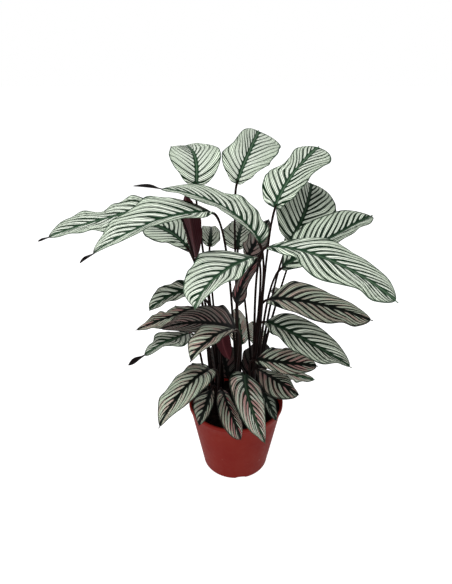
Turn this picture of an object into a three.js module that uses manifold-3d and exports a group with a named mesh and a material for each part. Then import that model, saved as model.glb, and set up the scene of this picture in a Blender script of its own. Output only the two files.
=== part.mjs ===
// Potted white star calathea, in millimetres, +Z up, origin at the middle of the pot's foot.
// -Y is the front. A round plastic nursery pot holds a bed of potting mix. Six shoots stand in holes in the
// mix, and each shoot's leaf stalks leave one sheath. Every leaf blade is a body of its own at its stalk's end.
import * as THREE from "three";
import { mergeVertices } from "three/addons/utils/BufferGeometryUtils.js";
import Module from "manifold-3d";

const wasm = await Module();
wasm.setup();

// Driving dimensions.
const CLEARANCE = 0.3;
const JOINT_GAP = 0.5;
const POT = {
  rimRadius: 85,
  footRadius: 57,
  height: 135,
  wall: 1.6,
  bandHeight: 8,
  bandDepth: 2.2,
  bandStep: 0.5,
  lipRound: 1,
  lipInset: 0.6,
  heel: 2.9,
  footRound: 5,
  floor: 2.4,
  sides: 40,
  channelInner: 43,
  channelHeight: 6,
  channelSlope: 0.8,
  cornerHeight: 4,
  notches: 4,
  notchWidth: 21,
  notchHeight: 4.5,
  notchTurn: 8.4,
  drains: 6,
  drainRadius: 4,
};
const MIX = {
  depthBelowRim: 15,
  heap: 5,
  lump: 1.6,
  edgeFade: 6,
  rings: 5,
  sides: 28,
  holeGap: 0.5,
  wallGap: 0.45,
};
const SHEATH = { sunk: 34, radius: 8, sunkRadius: 6.4, neckRadius: 5, knee: 6, height: 82, sides: 12 };
const STALK = {
  rootRadius: 2.4,
  tipRadius: 1.4,
  jointRadius: 1.9,
  jointShare: 0.85,
  rootOut: 3,
  rootUp: 10,
  reach: 34,
  lean: 0.25,
  sides: 5,
  steps: 8,
};
const BLADE = {
  thickness: 0.9,
  keel: 1.1,
  keelTaper: 0.7,
  neckWidth: 4.4,
  tipWidth: 1.2,
  tailWidth: 6,
  tailNeck: 1.8,
  tail: 0.02,
  belly: 0.44,
  tipPower: 0.62,
  ripple: 3,
  waves: 3,
  scallop: 4,
  longRows: [0, 0.04, 0.12, 0.22, 0.33, 0.45, 0.57, 0.69, 0.81, 0.92, 1],
  shortRows: [0, 0.05, 0.15, 0.29, 0.44, 0.6, 0.76, 0.91, 1],
  longFrom: 125,
  tailRows: [0, 0.3, 0.63, 0.88, 1],
  columns: [-1, -0.55, 0, 0.55, 1],
};

// The shoots: where each stands in the mix, seen from above.
const SHOOTS = {
  a: [-32, -22],
  b: [-3, -36],
  c: [28, -26],
  d: [-28, 16],
  e: [4, 8],
  g: [34, 16],
};

// The leaves. base, middle and tip are three places on the midrib, width is the full width of the blade laid
// flat, and faces is the way its upper side looks at mid length: azimuth (0 right, 90 back, -90 front), elevation.
// fold lifts each half from flat, ripple is the height of the waves in the margin, waves their number. left and
// right trim each margin at even steps from base to tip, in percent of the plain outline, seen tip up. tail is
// the share of the length that is a dry lobe, and tailWidth is the lobe's width.
const LEAVES = [
  { name: "leaf_01", shoot: "d", base: [-65, 31, 522], middle: [-66, 45, 562], tip: [-86, 126, 564],
    width: 84, faces: [-86, 62], fold: 12, ripple: 2.5, waves: 2.5, belly: 0.45,
    left: [78, 77, 88, 95, 97, 100, 99, 105, 138], right: [74, 81, 87, 94, 95, 97, 90, 55, 55] },
  { name: "leaf_02", shoot: "e", base: [-1, 40, 523], middle: [14, 53, 561], tip: [36, 131, 588],
    width: 76, faces: [-70, 50], fold: 10, ripple: 5, belly: 0.5, tipPower: 0.45,
    left: [70, 86, 99, 103, 94, 75, 75, 82, 89], right: [45, 62, 65, 85, 99, 104, 126, 141, 178] },
  { name: "leaf_03", shoot: "g", base: [56, -10, 499], middle: [83, 15, 544], tip: [130, 80, 572],
    width: 70, faces: [-112, 52], fold: 0, ripple: 6, belly: 0.4, tipPower: 0.42,
    left: [100, 107, 102, 109, 114, 67, 72, 102, 130], right: [46, 58, 66, 84, 77, 74, 110, 139, 160] },
  { name: "leaf_04", shoot: "c", base: [28, -111, 481], middle: [-36, -70, 526], tip: [-153, -20, 536],
    width: 74, faces: [0, 75], fold: 15, tail: 0.16, tailWidth: 16,
    left: [60, 67, 99, 112, 85, 104, 150, 150, 150],
    right: [150, 116, 140, 119, 135, 122, 150, 150, 150] },
  { name: "leaf_05", shoot: "e", base: [-37, -91, 519], middle: [-111, -151, 525],
    tip: [-197, -190, 488], width: 84, faces: [-130, 74], fold: 12, ripple: 2.5, tail: 0.09,
    tailWidth: 10, left: [70, 89, 98, 71, 50, 51, 71, 64, 50],
    right: [96, 140, 140, 138, 124, 115, 105, 115, 92] },
  { name: "leaf_06", shoot: "a", base: [-101, -51, 519], middle: [-187, -82, 507],
    tip: [-273, -110, 485], width: 72, faces: [-110, 80], fold: 0, waves: 5, tail: 0.08,
    left: [150, 150, 142, 150, 107, 102, 58, 55, 55],
    right: [101, 150, 130, 113, 64, 103, 126, 150, 150] },
  { name: "leaf_07", shoot: "d", base: [-81, 40, 413], middle: [-113, 60, 435], tip: [-164, 110, 435],
    width: 50, faces: [-110, 66], fold: 0, left: [56, 69, 80, 86, 103, 131, 142, 149, 149],
    right: [74, 91, 111, 132, 164, 170, 138, 100, 100] },
  { name: "leaf_08", shoot: "d", base: [-65, -10, 415], middle: [-70, -18, 465], tip: [-80, -5, 520],
    width: 54, faces: [90, 5], fold: 58, ripple: 2, belly: 0.55 },
  { name: "leaf_09", shoot: "d", base: [-47, 100, 392], middle: [-45, 125, 408], tip: [-45, 190, 397],
    width: 40, faces: [-90, 70], fold: 20, left: [94, 91, 89, 91, 94, 92, 102, 129, 170],
    right: [93, 110, 98, 88, 83, 77, 45, 45, 54] },
  { name: "leaf_10", shoot: "e", base: [2, 60, 403], middle: [6, 80, 428], tip: [13, 140, 424],
    width: 56, faces: [-86, 70], fold: 10, left: [115, 110, 108, 109, 105, 82, 79, 98, 131],
    right: [65, 67, 67, 75, 80, 80, 85, 90, 90] },
  { name: "leaf_11", shoot: "g", base: [16, 20, 405], middle: [31, 30, 429], tip: [53, 60, 458],
    width: 40, faces: [-125, 45], fold: 0 },
  { name: "leaf_13", shoot: "c", base: [22, -130, 469], middle: [-28, -201, 474],
    tip: [-55, -230, 444], width: 80, faces: [-135, 79], fold: 12, ripple: 2.5,
    left: [45, 63, 77, 80, 84, 72, 60, 45, 45], right: [160, 160, 139, 109, 100, 102, 95, 101, 121] },
  { name: "leaf_14", shoot: "a", base: [-65, -40, 378], middle: [-102, -65, 378],
    tip: [-134, -80, 361], width: 44, faces: [-90, 70], fold: 12, lean: 0.7,
    left: [60, 71, 84, 70, 60, 62, 60, 60, 60], right: [140, 140, 105, 76, 107, 119, 95, 96, 103] },
  { name: "leaf_15", shoot: "a", base: [-63, -60, 355], middle: [-104, -100, 360],
    tip: [-151, -110, 345], width: 44, faces: [-106, 82], fold: 4, ripple: 4, waves: 4, lean: 0.7,
    left: [60, 82, 79, 60, 92, 66, 100, 67, 60], right: [86, 125, 70, 88, 60, 82, 110, 60, 60] },
  { name: "leaf_16", shoot: "b", base: [-2, -67, 320], middle: [-55, -125, 366],
    tip: [-109, -160, 376], width: 62, faces: [-72, 54], fold: 10, ripple: 1.5, belly: 0.35,
    left: [40, 63, 75, 77, 74, 76, 69, 61, 58], right: [150, 112, 97, 86, 83, 76, 67, 58, 35] },
  { name: "leaf_17", shoot: "b", base: [-4, -150, 369], middle: [-35, -197, 384],
    tip: [-64, -215, 359], width: 48, faces: [178, 79], fold: 12, ripple: 1.5,
    left: [50, 62, 80, 74, 70, 92, 71, 52, 54], right: [199, 187, 151, 129, 126, 127, 125, 157, 199] },
  { name: "leaf_18", shoot: "a", base: [-73, -71, 315], middle: [-108, -109, 322],
    tip: [-162, -130, 297], width: 44, faces: [-153, 80], fold: 13, tail: 0.2, tailWidth: 14, lean: 0.7,
    left: [55, 79, 108, 142, 150, 76, 63, 95, 102], right: [55, 55, 81, 67, 76, 137, 150, 81, 82] },
  { name: "leaf_19", shoot: "a", base: [-38, -91, 261], middle: [-76, -145, 269],
    tip: [-116, -180, 220], width: 60, faces: [-143, 69], fold: 23, ripple: 1.5, tipPower: 0.75,
    left: [51, 103, 129, 138, 134, 140, 132, 109, 96], right: [160, 103, 73, 53, 72, 73, 77, 118, 118] },
  { name: "leaf_20", shoot: "a", base: [-40, -60, 202], middle: [-49, -95, 194], tip: [-62, -110, 166],
    width: 36, faces: [-136, 56], fold: 1, ripple: 2, waves: 2, tipPower: 0.8,
    left: [45, 45, 52, 60, 67, 61, 62, 63, 74], right: [170, 170, 170, 160, 151, 146, 156, 170, 170] },
  { name: "leaf_21", shoot: "b", base: [-26, -60, 201], middle: [-11, -115, 200], tip: [6, -130, 154],
    width: 46, faces: [-49, 57], fold: 0, ripple: 1, waves: 2,
    left: [67, 52, 45, 45, 45, 52, 61, 74, 77], right: [67, 68, 75, 82, 94, 105, 110, 112, 115] },
  { name: "leaf_22", shoot: "b", base: [11, -81, 249], middle: [18, -151, 240], tip: [42, -164, 177],
    width: 52, faces: [-39, 48], fold: 0, ripple: 1, waves: 2,
    left: [160, 132, 116, 107, 104, 105, 107, 103, 93],
    right: [124, 124, 113, 103, 101, 98, 90, 78, 55] },
  { name: "leaf_23", shoot: "c", base: [33, -51, 236], middle: [62, -98, 247], tip: [96, -115, 231],
    width: 48, faces: [-112, 78], fold: 0, ripple: 1, left: [45, 45, 45, 52, 66, 74, 72, 63, 45],
    right: [55, 71, 87, 104, 121, 141, 148, 143, 132] },
  { name: "leaf_24", shoot: "c", base: [45, -30, 173], middle: [55, -55, 165], tip: [68, -65, 139],
    width: 24, faces: [-62, 50], fold: 0, ripple: 2, waves: 2,
    left: [110, 110, 110, 110, 110, 110, 110, 110, 110], right: [72, 72, 72, 72, 72, 72, 72, 72, 72] },
  { name: "leaf_25", shoot: "c", base: [30, -61, 260], middle: [72, -96, 278], tip: [123, -105, 278],
    width: 54, faces: [-142, 70], fold: 0, ripple: 1, belly: 0.4,
    left: [154, 122, 107, 107, 112, 112, 123, 147, 149], right: [45, 45, 55, 70, 79, 88, 95, 91, 93] },
  { name: "leaf_26", shoot: "g", base: [62, 20, 189], middle: [99, 25, 173], tip: [145, 20, 163],
    width: 30, faces: [-51, 63], fold: 0, ripple: 4, waves: 4 },
  { name: "leaf_27", shoot: "c", base: [42, -88, 346], middle: [93, -138, 346], tip: [157, -171, 320],
    width: 64, faces: [-95, 73], fold: 10, ripple: 1.2, belly: 0.38,
    left: [113, 108, 98, 100, 104, 100, 101, 108, 105],
    right: [45, 69, 66, 86, 101, 100, 113, 111, 51] },
  { name: "leaf_28", shoot: "c", base: [44, -90, 385], middle: [107, -139, 404], tip: [178, -170, 395],
    width: 68, faces: [-132, 74], fold: 4, ripple: 1.2, belly: 0.36,
    left: [161, 129, 108, 98, 89, 73, 71, 78, 72], right: [54, 61, 72, 84, 98, 112, 124, 109, 152] },
  { name: "leaf_29", shoot: "c", base: [37, -129, 484], middle: [108, -200, 495],
    tip: [180, -250, 464], width: 78, faces: [-85, 82], fold: 2, ripple: 1.5,
    left: [127, 124, 117, 114, 102, 86, 92, 104, 118], right: [53, 54, 51, 87, 110, 116, 106, 92, 138] },
  { name: "leaf_30", shoot: "g", base: [65, -61, 423], middle: [127, -75, 473], tip: [197, -37, 497],
    width: 68, faces: [-138, 58], fold: 8, ripple: 2.5, belly: 0.5, tipPower: 0.5,
    left: [170, 170, 145, 148, 149, 132, 132, 154, 170], right: [74, 80, 81, 79, 60, 50, 63, 52, 75] },
  { name: "leaf_31", shoot: "g", base: [85, 20, 435], middle: [108, 40, 475], tip: [126, 111, 505],
    width: 94, faces: [-72, 47], fold: 11, ripple: 4, tipPower: 0.5,
    left: [84, 89, 99, 103, 103, 102, 100, 98, 94], right: [45, 58, 74, 91, 101, 115, 112, 120, 130] },
  { name: "leaf_32", shoot: "e", base: [-1, -41, 350], middle: [11, -45, 396], tip: [38, -30, 438],
    width: 30, faces: [-140, 24], fold: 0, ripple: 2, waves: 2,
    left: [164, 136, 114, 89, 59, 49, 51, 58, 69], right: [103, 121, 105, 73, 77, 88, 92, 101, 125] },
  { name: "leaf_33", shoot: "e", base: [9, 30, 232], middle: [6, 46, 260], tip: [0, 90, 275],
    width: 44, faces: [-94, 54], fold: 0, ripple: 2, waves: 2,
    left: [90, 90, 90, 90, 90, 90, 90, 90, 90], right: [75, 75, 75, 75, 75, 75, 75, 75, 75] },
  { name: "leaf_34", shoot: "g", base: [38, 42, 222], middle: [37, 66, 240], tip: [31, 92, 245],
    width: 44, faces: [-80, 55], fold: 0, ripple: 2, waves: 2,
    left: [70, 70, 70, 70, 70, 75, 80, 80, 80], right: [105, 105, 100, 85, 65, 55, 50, 50, 50] },
  { name: "leaf_36", shoot: "d", base: [-12, 42, 150], middle: [-24, 80, 172], tip: [-40, 122, 174],
    width: 58, faces: [-90, 68], fold: 8, waves: 2 },
  { name: "leaf_37", shoot: "e", base: [24, 45, 150], middle: [42, 82, 172], tip: [57, 122, 180],
    width: 54, faces: [-90, 68], fold: 8, waves: 2 },
  { name: "leaf_38", shoot: "d", base: [-45, 30, 166], middle: [-85, 62, 146], tip: [-120, 84, 104],
    width: 44, faces: [-110, 65], fold: 6, waves: 2 },
  { name: "leaf_40", shoot: "d", base: [-38, 60, 270], middle: [-68, 110, 225], tip: [-112, 150, 169],
    width: 58, faces: [120, 50], fold: 8 },
  { name: "leaf_41", shoot: "g", base: [66, 60, 246], middle: [105, 108, 205], tip: [158, 140, 150],
    width: 60, faces: [60, 50], fold: 8 },
  { name: "leaf_42", shoot: "g", base: [76, 52, 318], middle: [112, 105, 296], tip: [185, 150, 262],
    width: 62, faces: [60, 65], fold: 8 },
  { name: "leaf_43", shoot: "d", base: [-58, 40, 322], middle: [-110, 90, 314], tip: [-148, 130, 278],
    width: 42, faces: [130, 75], fold: 8 },
  { name: "leaf_44", shoot: "g", base: [50, 34, 178], middle: [98, 75, 183], tip: [148, 104, 150],
    width: 44, faces: [60, 78], fold: 6 },
  { name: "leaf_45", shoot: "d", base: [-70, 60, 395], middle: [-125, 110, 415], tip: [-190, 150, 405],
    width: 60, faces: [120, 75], fold: 8 },
  { name: "leaf_46", shoot: "g", base: [96, 60, 400], middle: [135, 120, 420], tip: [198, 160, 408],
    width: 66, faces: [60, 75], fold: 8 },
  { name: "leaf_47", shoot: "d", base: [-25, -50, 318], middle: [-22, -58, 291], tip: [-12, -62, 262],
    width: 25, faces: [88, 14], fold: 12, ripple: 1.5, waves: 2 },
];

const v3 = (a) => new THREE.Vector3(...a);
const rad = THREE.MathUtils.degToRad;

// A closed mesh's geometry, with its shared vertices merged, as a solid.
function solidOf(geometry) {
  const bare = new THREE.BufferGeometry();
  bare.setAttribute("position", geometry.getAttribute("position"));
  bare.setIndex(geometry.index);
  const merged = mergeVertices(bare, 1e-4);
  const mesh = new wasm.Mesh({
    numProp: 3,
    vertProperties: new Float32Array(merged.attributes.position.array),
    triVerts: new Uint32Array(merged.index.array),
  });
  return new wasm.Manifold(mesh);
}

// A solid back as a geometry.
function geometryOf(solid) {
  const mesh = solid.getMesh();
  const geometry = new THREE.BufferGeometry();
  geometry.setAttribute("position", new THREE.BufferAttribute(new Float32Array(mesh.vertProperties), 3));
  geometry.setIndex(new THREE.BufferAttribute(new Uint32Array(mesh.triVerts), 1));
  return geometry;
}

// A closed skin over rings of points, each ring with as many points, capped flat at both ends.
function skin(rings) {
  const count = rings[0].length;
  const positions = rings.flat().flatMap((p) => [p.x, p.y, p.z]);
  const index = [];
  for (let r = 0; r + 1 < rings.length; r += 1) {
    for (let k = 0; k < count; k += 1) {
      const a = r * count + k;
      const b = r * count + ((k + 1) % count);
      index.push(a, b, b + count, a, b + count, a + count);
    }
  }
  const last = (rings.length - 1) * count;
  for (let k = 1; k + 1 < count; k += 1) {
    index.push(0, k + 1, k);
    index.push(last, last + k, last + k + 1);
  }
  const geometry = new THREE.BufferGeometry();
  geometry.setAttribute("position", new THREE.Float32BufferAttribute(positions, 3));
  geometry.setIndex(index);
  return geometry;
}

// The midrib: a quadratic curve through a leaf's base, middle and tip.
function midrib(leaf) {
  const base = v3(leaf.base);
  const tip = v3(leaf.tip);
  const control = v3(leaf.middle).multiplyScalar(2).addScaledVector(base, -0.5).addScaledVector(tip, -0.5);
  return new THREE.QuadraticBezierCurve3(base, control, tip);
}

// Places along the midrib with the blade's own axes: along the rib, out of the upper face, and to the side.
function bladeFrames(leaf) {
  const curve = midrib(leaf);
  const [azimuth, elevation] = leaf.faces.map(rad);
  const looks = new THREE.Vector3(
    Math.cos(azimuth) * Math.cos(elevation),
    Math.sin(azimuth) * Math.cos(elevation),
    Math.sin(elevation),
  );
  const body = curve.getLength() > BLADE.longFrom ? BLADE.longRows : BLADE.shortRows;
  const rows = leaf.tail
    ? [
        ...body.slice(0, -1).map((t) => t * (1 - leaf.tail)),
        ...BLADE.tailRows.map((t) => 1 - leaf.tail * (1 - t)),
      ]
    : body;
  const frames = rows.map((t) => ({ t, place: curve.getPoint(t), along: curve.getTangent(t) }));
  const middle = Math.floor(frames.length / 2);
  const carry = (out, along) => out.clone().addScaledVector(along, -out.dot(along)).normalize();
  frames[middle].out = carry(looks, frames[middle].along);
  for (let k = middle + 1; k < frames.length; k += 1) frames[k].out = carry(frames[k - 1].out, frames[k].along);
  for (let k = middle - 1; k >= 0; k -= 1) frames[k].out = carry(frames[k + 1].out, frames[k].along);
  for (const frame of frames) frame.side = frame.along.clone().cross(frame.out);
  return frames;
}

// Half the blade's plain width at a share along its length: round at the base, widest at the belly, drawn to a
// tip, and past that the dry lobe of a leaf that has one.
function halfWidth(leaf, share) {
  const tail = leaf.tail ?? BLADE.tail;
  const t = Math.min(1, share / (1 - tail));
  const belly = leaf.belly ?? BLADE.belly;
  const tipPower = leaf.tipPower ?? BLADE.tipPower;
  const basePower = (tipPower * belly) / (1 - belly);
  const body = Math.pow(t, basePower) * Math.pow(1 - t, tipPower);
  const widest = Math.pow(belly, basePower) * Math.pow(1 - belly, tipPower);
  const past = Math.max(0, (share - 1 + tail) / tail);
  const swell = Math.sin(Math.PI * Math.pow(past, 1.5));
  const lobe = BLADE.tailNeck + ((leaf.tailWidth ?? BLADE.tailWidth) - BLADE.tailNeck) * swell;
  const tip = leaf.tail ? lobe : BLADE.tipWidth;
  const ends = (BLADE.neckWidth / 2) * (1 - t) + (tip / 2) * t;
  return Math.max(ends, (leaf.width / 2) * (body / widest));
}

// A smooth curve through evenly spaced values, read at a place counted in steps from the first.
function through(values, place) {
  const last = values.length - 1;
  const step = Math.min(Math.max(Math.floor(place), 0), last - 1);
  const [a, b, c, d] = [-1, 0, 1, 2].map((k) => values[Math.min(Math.max(step + k, 0), last)]);
  const f = place - step;
  return b + 0.5 * f * (c - a + f * (2 * a - 5 * b + 4 * c - d + f * (3 * (b - c) + d - a)));
}

// The share of the plain half width that the margin reaches: by the leaf's own trims, or by small scallops.
function trimAt(leaf, t, s) {
  if (!leaf.left) {
    const phase = s > 0 ? 2.4 : 0.3;
    const waves = (leaf.waves ?? BLADE.waves) + 0.5;
    return 1 + (BLADE.scallop / 100) * Math.sin(2 * Math.PI * waves * t + phase);
  }
  const count = leaf.left.length;
  const place = (t / (1 - (leaf.tail ?? BLADE.tail))) * (count + 1) - 1;
  return through(s > 0 ? leaf.right : leaf.left, Math.min(Math.max(place, 0), count - 1)) / 100;
}

// How far the margin's waves lift the blade at t along and s across.
function rippleAt(leaf, t, s) {
  const phase = s > 0 ? 0.6 : 2.1;
  const swell = Math.sin(Math.PI * Math.min(1, t * 1.1)) * s * s;
  const waves = leaf.waves ?? BLADE.waves;
  return (leaf.ripple ?? BLADE.ripple) * swell * Math.sin(2 * Math.PI * waves * t + phase);
}

// A leaf blade: an upper and a lower face on the same triangles, with a keel under the midrib.
function blade(leaf) {
  const frames = bladeFrames(leaf);
  const fold = rad(leaf.fold);
  const shift = frames[0].along.clone().multiplyScalar(JOINT_GAP);
  const rings = frames.map(({ t, place, out, side }) => {
    const half = halfWidth(leaf, t);
    const thick = BLADE.thickness / 2;
    const point = (s, lift) =>
      place
        .clone()
        .add(shift)
        .addScaledVector(side, half * s * trimAt(leaf, t, s) * Math.cos(fold))
        .addScaledVector(out, half * Math.abs(s) * Math.sin(fold) + rippleAt(leaf, t, s) + lift);
    const upper = BLADE.columns.map((s) => point(s, thick));
    const keel = BLADE.keel * (1 - BLADE.keelTaper * t);
    const lower = BLADE.columns.map((s) => point(s, -thick - (s === 0 ? keel : 0)));
    return [...upper, ...lower.reverse()];
  });
  return bladeSkin(rings);
}

// The skin of a blade's rings: upper points first, then lower points in reverse, split alike on both faces.
function bladeSkin(rings) {
  const across = BLADE.columns.length;
  const count = 2 * across;
  const positions = rings.flat().flatMap((p) => [p.x, p.y, p.z]);
  const index = [];
  const upper = (r, c) => r * count + c;
  const lower = (r, c) => r * count + count - 1 - c;
  const quad = (p, q, r, s) => index.push(p, q, r, p, r, s);
  const flipped = (p, q, r, s) => index.push(p, r, q, p, s, r);
  const last = rings.length - 1;
  for (let r = 0; r < last; r += 1) {
    for (let c = 0; c + 1 < across; c += 1) {
      quad(upper(r, c), upper(r, c + 1), upper(r + 1, c + 1), upper(r + 1, c));
      flipped(lower(r, c), lower(r, c + 1), lower(r + 1, c + 1), lower(r + 1, c));
    }
    quad(upper(r, 0), upper(r + 1, 0), lower(r + 1, 0), lower(r, 0));
    const end = across - 1;
    quad(lower(r, end), lower(r + 1, end), upper(r + 1, end), upper(r, end));
  }
  for (let c = 0; c + 1 < across; c += 1) {
    quad(upper(0, c), lower(0, c), lower(0, c + 1), upper(0, c + 1));
    quad(upper(last, c), upper(last, c + 1), lower(last, c + 1), lower(last, c));
  }
  const geometry = new THREE.BufferGeometry();
  geometry.setAttribute("position", new THREE.Float32BufferAttribute(positions, 3));
  geometry.setIndex(index);
  return geometry;
}

// A stalk's line: up out of its sheath, then over into the direction of the midrib it carries.
function stalkLine(leaf, root) {
  const base = v3(leaf.base);
  const along = midrib(leaf).getTangent(0);
  const lean = leaf.lean ?? STALK.lean;
  const low = new THREE.Vector3(
    root.x + (base.x - root.x) * lean,
    root.y + (base.y - root.y) * lean,
    (root.z + base.z) / 2,
  );
  return new THREE.CubicBezierCurve3(root, low, base.clone().addScaledVector(along, -STALK.reach), base);
}

// A leaf stalk: a tapering rod along its line, swelling into a joint under the blade.
function stalk(leaf, root) {
  const line = stalkLine(leaf, root);
  let out = new THREE.Vector3(1, 0, 0);
  const rings = [];
  for (let k = 0; k <= STALK.steps; k += 1) {
    const t = k / STALK.steps;
    const place = line.getPointAt(t);
    const along = line.getTangentAt(t);
    out = out.clone().addScaledVector(along, -out.dot(along)).normalize();
    const side = along.clone().cross(out);
    const taper = STALK.rootRadius + (STALK.tipRadius - STALK.rootRadius) * t;
    const radius = t >= STALK.jointShare ? STALK.jointRadius : taper;
    const ring = [];
    for (let i = 0; i < STALK.sides; i += 1) {
      const turn = (2 * Math.PI * i) / STALK.sides;
      ring.push(
        place
          .clone()
          .addScaledVector(out, radius * Math.cos(turn))
          .addScaledVector(side, radius * Math.sin(turn)),
      );
    }
    rings.push(ring);
  }
  return skin(rings);
}

const mixTop = POT.height - MIX.depthBelowRim;

// A lathe profile about Z, given as radius and height pairs.
function turned(profile, sides) {
  const geometry = new THREE.LatheGeometry(
    profile.map(([r, z]) => new THREE.Vector2(r, z)),
    sides,
  );
  return geometry.rotateX(Math.PI / 2);
}

// One shoot: the sheath that stands in the mix, and the stalks that leave it.
function shoot(key) {
  const [x, y] = SHOOTS[key];
  const sheath = turned(
    [
      [0, mixTop - SHEATH.sunk],
      [SHEATH.sunkRadius, mixTop - SHEATH.sunk],
      [SHEATH.radius, mixTop - SHEATH.sunk * 0.4],
      [SHEATH.radius, mixTop + SHEATH.knee],
      [SHEATH.neckRadius, mixTop + SHEATH.height],
      [0, mixTop + SHEATH.height],
    ],
    SHEATH.sides,
  ).translate(x, y, 0);
  let solid = solidOf(sheath);
  for (const leaf of LEAVES.filter((one) => one.shoot === key)) {
    const turn = Math.atan2(leaf.base[1] - y, leaf.base[0] - x);
    const root = new THREE.Vector3(
      x + STALK.rootOut * Math.cos(turn),
      y + STALK.rootOut * Math.sin(turn),
      mixTop + STALK.rootUp,
    );
    solid = solid.add(solidOf(stalk(leaf, root)));
  }
  return geometryOf(solid);
}

// The pot: a thin tapered wall with a rim band, a raised channel round the floor, foot notches and drain holes.
function pot() {
  const { rimRadius: rim, footRadius: foot, height, wall } = POT;
  const { channelInner: channel, channelHeight: raised } = POT;
  const bandFoot = height - POT.bandHeight;
  const under = rim - POT.bandDepth;
  const outside = [
    [0, 0],
    [channel - 1, 0],
    [channel, raised],
    [foot - wall - POT.channelSlope, raised],
    [foot - wall, 0],
    [foot, 0],
    [foot + POT.heel * 0.62, POT.footRound * 0.35],
    [foot + POT.heel, POT.footRound],
    [under, bandFoot],
    [rim - POT.bandStep, bandFoot + 2 * POT.bandStep],
    [rim, bandFoot + 5 * POT.bandStep],
    [rim, height - POT.lipRound],
    [rim - POT.lipRound, height],
  ];
  const inside = [
    [rim - wall - POT.lipInset, height],
    [rim - wall - 2 * POT.lipInset, height - POT.lipRound],
    [under - wall, bandFoot],
    [foot + POT.heel - wall, raised + POT.floor + POT.cornerHeight],
    [foot - wall - POT.lipInset, raised + POT.floor],
    [channel + 1, raised + POT.floor],
    [channel, POT.floor],
    [0, POT.floor],
  ];
  let solid = solidOf(turned([...outside, ...inside], POT.sides));
  for (let k = 0; k < POT.notches; k += 1) {
    const arch = new THREE.CylinderGeometry(1, 1, 14, 14)
      .rotateZ(Math.PI / 2)
      .scale(1, POT.notchWidth / 2, POT.notchHeight)
      .translate(foot, 0, 0)
      .rotateZ(rad(POT.notchTurn + (360 * k) / POT.notches));
    solid = solid.subtract(solidOf(arch));
  }
  for (let k = 0; k < POT.drains; k += 1) {
    const drain = new THREE.CylinderGeometry(POT.drainRadius, POT.drainRadius, 2 * raised, 12)
      .rotateX(Math.PI / 2)
      .translate((channel + foot - wall) / 2, 0, raised)
      .rotateZ(rad(POT.notchTurn + (360 * (k + 0.5)) / POT.drains));
    solid = solid.subtract(solidOf(drain));
  }
  return geometryOf(solid);
}

// The inner radius of the pot at a height, as the mix meets it.
function potInside(z) {
  const low = [POT.footRadius + POT.heel - POT.wall, POT.channelHeight + POT.floor + POT.cornerHeight];
  const high = [POT.rimRadius - POT.bandDepth - POT.wall, POT.height - POT.bandHeight];
  const share = (z - low[1]) / (high[1] - low[1]);
  return low[0] + (high[0] - low[0]) * share;
}

// The lie of the potting mix's top at a place inside its edge: a low heap with lumps that fade to the wall.
function mixHeight(x, y, edge) {
  const share = 1 - Math.hypot(x, y) / edge;
  const lumps = Math.sin(0.21 * x + 1.3) * Math.cos(0.19 * y) + 0.6 * Math.sin(0.37 * y - 0.31 * x);
  return mixTop + MIX.heap * share + MIX.lump * lumps * Math.min(1, MIX.edgeFade * share);
}

// The potting mix: it fills the pot, heaps a little to the middle, lies lumpy on top, and has the shoots' holes.
function mix() {
  const ring = (radius, height) => {
    const points = [];
    for (let k = 0; k < MIX.sides; k += 1) {
      const turn = (2 * Math.PI * k) / MIX.sides;
      const x = radius * Math.cos(turn);
      const y = radius * Math.sin(turn);
      points.push(new THREE.Vector3(x, y, height(x, y)));
    }
    return points;
  };
  const level = (height) => () => height;
  const low = POT.channelHeight + POT.floor;
  const corner = low + POT.cornerHeight;
  const edge = potInside(mixTop) - MIX.wallGap;
  const rings = [
    ring(POT.channelInner - MIX.wallGap, level(POT.floor + MIX.wallGap)),
    ring(POT.channelInner + POT.channelSlope - MIX.wallGap, level(low + MIX.wallGap)),
    ring(POT.footRadius - POT.wall - POT.channelSlope - MIX.wallGap, level(low + MIX.wallGap)),
    ring(potInside(corner) - MIX.wallGap, level(corner + MIX.wallGap)),
    ring(edge, level(mixTop)),
  ];
  const top = (x, y) => mixHeight(x, y, edge);
  for (let k = 1; k < MIX.rings; k += 1) rings.push(ring(edge * (1 - k / MIX.rings), top));
  let solid = solidOf(skin(rings));
  const radius = SHEATH.radius + MIX.holeGap;
  const depth = SHEATH.sunk + CLEARANCE;
  for (const [x, y] of Object.values(SHOOTS)) {
    const bore = new THREE.CylinderGeometry(radius, radius, 2 * depth, 14);
    bore.rotateX(Math.PI / 2).translate(x, y, mixTop);
    solid = solid.subtract(solidOf(bore));
  }
  return geometryOf(solid);
}

const plant = new THREE.Group();
const material = (hex, roughness) => new THREE.MeshStandardMaterial({ color: hex, roughness, metalness: 0 });
const FINISH = {
  blade: material("#b9c7b0", 0.5),
  stalk: material("#2b1416", 0.55),
  pot: material("#8c2f27", 0.45),
  mix: material("#15110e", 0.95),
};

function addMesh(name, geometry, finish) {
  const mesh = new THREE.Mesh(geometry, finish);
  mesh.name = name;
  plant.add(mesh);
}

addMesh("pot", pot(), FINISH.pot);
addMesh("soil", mix(), FINISH.mix);
for (const leaf of LEAVES) addMesh(leaf.name, blade(leaf), FINISH.blade);
for (const key of Object.keys(SHOOTS)) addMesh(`shoot_${key}`, shoot(key), FINISH.stalk);

export default plant;
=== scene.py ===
"""Potted white star calathea: the looks of the plant and its nursery pot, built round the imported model.

Metres, +Z up, -Y is the front. Sizes of the plant's own pieces are written in millimetres and turned to
metres once, when a mesh is made. Each leaf blade, shoot, the potting mix and the pot replaces the solid of
its name with a finer piece on the same lines.
"""
import itertools
import logging
import math
import random
from dataclasses import dataclass, field
from enum import Enum
from typing import Any, Iterable, Sequence

import bpy
import numpy as np
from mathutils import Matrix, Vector, noise


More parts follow.
